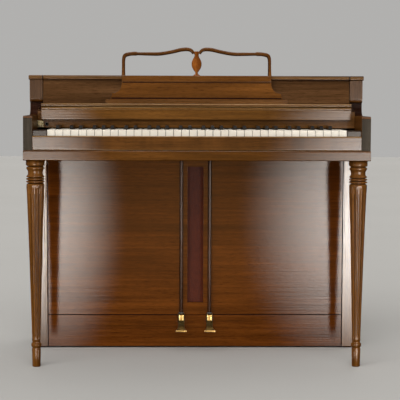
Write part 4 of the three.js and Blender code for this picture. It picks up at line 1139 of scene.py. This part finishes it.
# Grille cloth: how finely it is divided, how deep its slack is, and the ripples in it
CLOTH_COLUMNS = 24
CLOTH_ROWS = 140
CLOTH_HOLLOW = 0.6 * MM
CLOTH_RIPPLES = 5
CLOTH_RIPPLE_SHARE = 0.3


def grille_sheet():
    """Cloth stretched over the slot's back, with slack that shows as faint hollows."""
    low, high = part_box("grille_cloth")
    width = high.x - low.x
    height = high.z - low.z
    middle = (low.y + high.y) / 2
    work = bmesh.new()
    grid = []
    for row in range(CLOTH_ROWS + 1):
        up = row / CLOTH_ROWS
        line = []
        for column in range(CLOTH_COLUMNS + 1):
            across = column / CLOTH_COLUMNS
            sag = math.sin(math.pi * across) * math.sin(math.pi * up)
            wave = math.sin(2 * math.pi * CLOTH_RIPPLES * up) * math.sin(math.pi * across)
            y = middle + CLOTH_HOLLOW * (sag + CLOTH_RIPPLE_SHARE * wave) / 2
            line.append(work.verts.new((low.x + across * width, y, low.z + up * height)))
        grid.append(line)
    for below, above in zip(grid, grid[1:]):
        for column in range(CLOTH_COLUMNS):
            work.faces.new((below[column], below[column + 1], above[column + 1], above[column]))
    piece = new_object("stretched_cloth", smooth_mesh("cloth", work), [cloth])
    stand_in(piece, "grille_cloth")


# Stage
FLOOR_REACH = 14
SUN_SPREAD = math.radians(70)
BACKDROP_STRENGTH = 0.72
# The surroundings that glossy surfaces mirror: at which heights and how strong they start and end
MIRRORED_HEIGHTS = (-0.2, 0.9)
MIRRORED_STRENGTHS = (0.06, 0.4)
DAYLIGHT = (1, 0.95, 0.88)
PALE_DAYLIGHT = (1, 0.95, 0.89)
LAMPLIGHT = (1, 0.5, 0.18)
CEILING_LIGHT = (1, 0.92, 0.84)
BACKWARDS = (0, 1, 0)
DOWN = (0, 0, -1)


def pale_floor():
    """A plain floor that the lacquer doesn't mirror."""
    mesh = bpy.data.meshes.new("floor")
    corners = [
        (x * FLOOR_REACH, y * FLOOR_REACH, 0) for x, y in ((-1, -1), (1, -1), (1, 1), (-1, 1))]
    mesh.from_pydata(corners, [], [(0, 1, 2, 3)])
    material, tree, shader = new_material("floor")
    cloud = noise(tree, object_place(tree, (1, 1, 1)), scale=FLOOR_CLOUD, detail=3.0)
    fill(tree, shader, {
        "Base Color": ramp(tree, cloud, [(0.3, srgb(182, 180, 176)), (0.7, srgb(185, 183, 179))]),
        "Roughness": 0.9,
        "Specular IOR Level": 0.0,
    })
    floor = new_object("floor", mesh, [material])
    floor.visible_glossy = False


def broad_light(name, place, power):
    """A wide soft light from far away, for an even floor. The lacquer doesn't mirror it."""
    data = bpy.data.lights.new(name, "SUN")
    data.angle = SUN_SPREAD
    data.energy = power
    lamp = bpy.data.objects.new(name, data)
    lamp.rotation_euler = (-Vector(place)).to_track_quat("-Z", "Y").to_euler()
    lamp.visible_glossy = False
    bpy.context.scene.collection.objects.link(lamp)


def mirrored_light(name, place, width, height, power, colour, aim=BACKWARDS):
    """A soft box that only shows in glossy surfaces, brightest in its middle."""
    data = bpy.data.lights.new(name, "AREA")
    data.shape = "RECTANGLE"
    data.size = width
    data.size_y = height
    data.energy = power
    data.color = colour
    data.use_nodes = True
    tree = data.node_tree
    geometry = add_node(tree, "ShaderNodeNewGeometry", {})
    centred = add_node(tree, "ShaderNodeVectorMath", {
        0: geometry.outputs["Parametric"], 1: (0.5, 0.5, 0)}, operation="SUBTRACT")
    reach = add_node(tree, "ShaderNodeVectorMath", {0: centred.outputs[0]}, operation="LENGTH")
    fall = add_node(tree, "ShaderNodeMapRange", {
        "Value": reach.outputs["Value"], "From Min": 0.0, "From Max": 0.5, "To Min": 1.0, "To Max": 0.0,
    }, interpolation_type="SMOOTHSTEP")
    tree.links.new(fall.outputs["Result"], tree.nodes["Emission"].inputs["Strength"])
    lamp = bpy.data.objects.new(name, data)
    lamp.location = place
    lamp.rotation_euler = Vector(aim).to_track_quat("-Z", "Y").to_euler()
    lamp.visible_camera = False
    lamp.visible_diffuse = False
    bpy.context.scene.collection.objects.link(lamp)


def surroundings():
    """A pale backdrop behind the object, and dim surroundings where the lacquer would mirror them."""
    world = bpy.data.worlds.new("studio")
    world.use_nodes = True
    tree = world.node_tree
    direction = add_node(tree, "ShaderNodeTexCoord", {})
    axes = add_node(tree, "ShaderNodeSeparateXYZ", {"Vector": direction.outputs["Generated"]})
    mirrored = add_node(tree, "ShaderNodeMapRange", {
        "Value": axes.outputs["Z"],
        "From Min": MIRRORED_HEIGHTS[0], "From Max": MIRRORED_HEIGHTS[1],
        "To Min": MIRRORED_STRENGTHS[0], "To Max": MIRRORED_STRENGTHS[1],
    }, interpolation_type="SMOOTHSTEP")
    rays = add_node(tree, "ShaderNodeLightPath", {})
    strength = add_node(tree, "ShaderNodeMix", {
        MIX_SHARE: rays.outputs["Is Glossy Ray"], MIX_VALUES[0]: BACKDROP_STRENGTH,
        MIX_VALUES[1]: mirrored.outputs["Result"]})
    background = tree.nodes["Background"]
    background.inputs["Color"].default_value = srgb(205, 204, 202)
    tree.links.new(strength.outputs[MIXED_VALUE], background.inputs["Strength"])
    bpy.context.scene.world = world


def lights():
    broad_light("front_light", place=(-0.25, -1, 0.75), power=2.4)
    broad_light("back_light", place=(0.4, 1, 1.2), power=0.6)
    mirrored_light(
        "left_card", place=(-0.56, -1.0, 0.31), width=0.6, height=1.3, power=112, colour=DAYLIGHT)
    mirrored_light(
        "right_card", place=(0.68, -1.0, 0.32), width=1.0, height=1.35, power=240,
        colour=PALE_DAYLIGHT)
    mirrored_light(
        "room_glow", place=(0, -1.1, 0.35), width=2.4, height=1.5, power=50, colour=LAMPLIGHT)
    mirrored_light(
        "over_light", place=(0, -0.5, 2.4), width=3.2, height=1.8, power=300,
        colour=CEILING_LIGHT, aim=DOWN)


def photo_camera():
    data = bpy.data.cameras.new("camera")
    data.sensor_width = SENSOR_MM
    data.lens = FOCAL_PIXELS / IMAGE_PIXELS * SENSOR_MM
    camera = bpy.data.objects.new("camera", data)
    right = Vector((math.cos(CAMERA_YAW), math.sin(CAMERA_YAW), 0))
    ahead = Vector((-math.sin(CAMERA_YAW), math.cos(CAMERA_YAW), 0))
    up = Vector((0, 0, 1))
    forward = math.cos(CAMERA_PITCH) * ahead - math.sin(CAMERA_PITCH) * up
    upward = math.sin(CAMERA_PITCH) * ahead + math.cos(CAMERA_PITCH) * up
    camera_x = math.cos(CAMERA_ROLL) * right + math.sin(CAMERA_ROLL) * upward
    camera_y = math.cos(CAMERA_ROLL) * upward - math.sin(CAMERA_ROLL) * right
    turn = Matrix((camera_x, camera_y, -forward)).transposed().to_4x4()
    camera.matrix_world = Matrix.Translation(CAMERA_PLACE) @ turn
    bpy.context.scene.collection.objects.link(camera)
    bpy.context.scene.camera = camera


photo_camera()
dress_rounded_boards()
dressed("desk_panel", desk_wood, DESK_EASING, edge_material=ledge_wood)
dress_plain_boards()
dress_lower_case()
dress_upper_sides()
dress_top()
dress_works()
dress_keys()
turned_leg("leg_left")
turned_leg("leg_right")
for side, middle_x in PEDAL_MIDDLES.items():
    pedal(side, middle_x)
    pedal_pad(side, middle_x)
    dressed("pedal_rod_" + side, rod_wood, ROD_EASING, 4)
knuckled_hinge()
hinge_screws()
crest()
desk_shadow_lines()
leaf_ornament()
ribbed_knob()
back_screws()
grille_sheet()
pale_floor()
surroundings()
lights()
bpy.context.scene.view_settings.view_transform = "Standard"
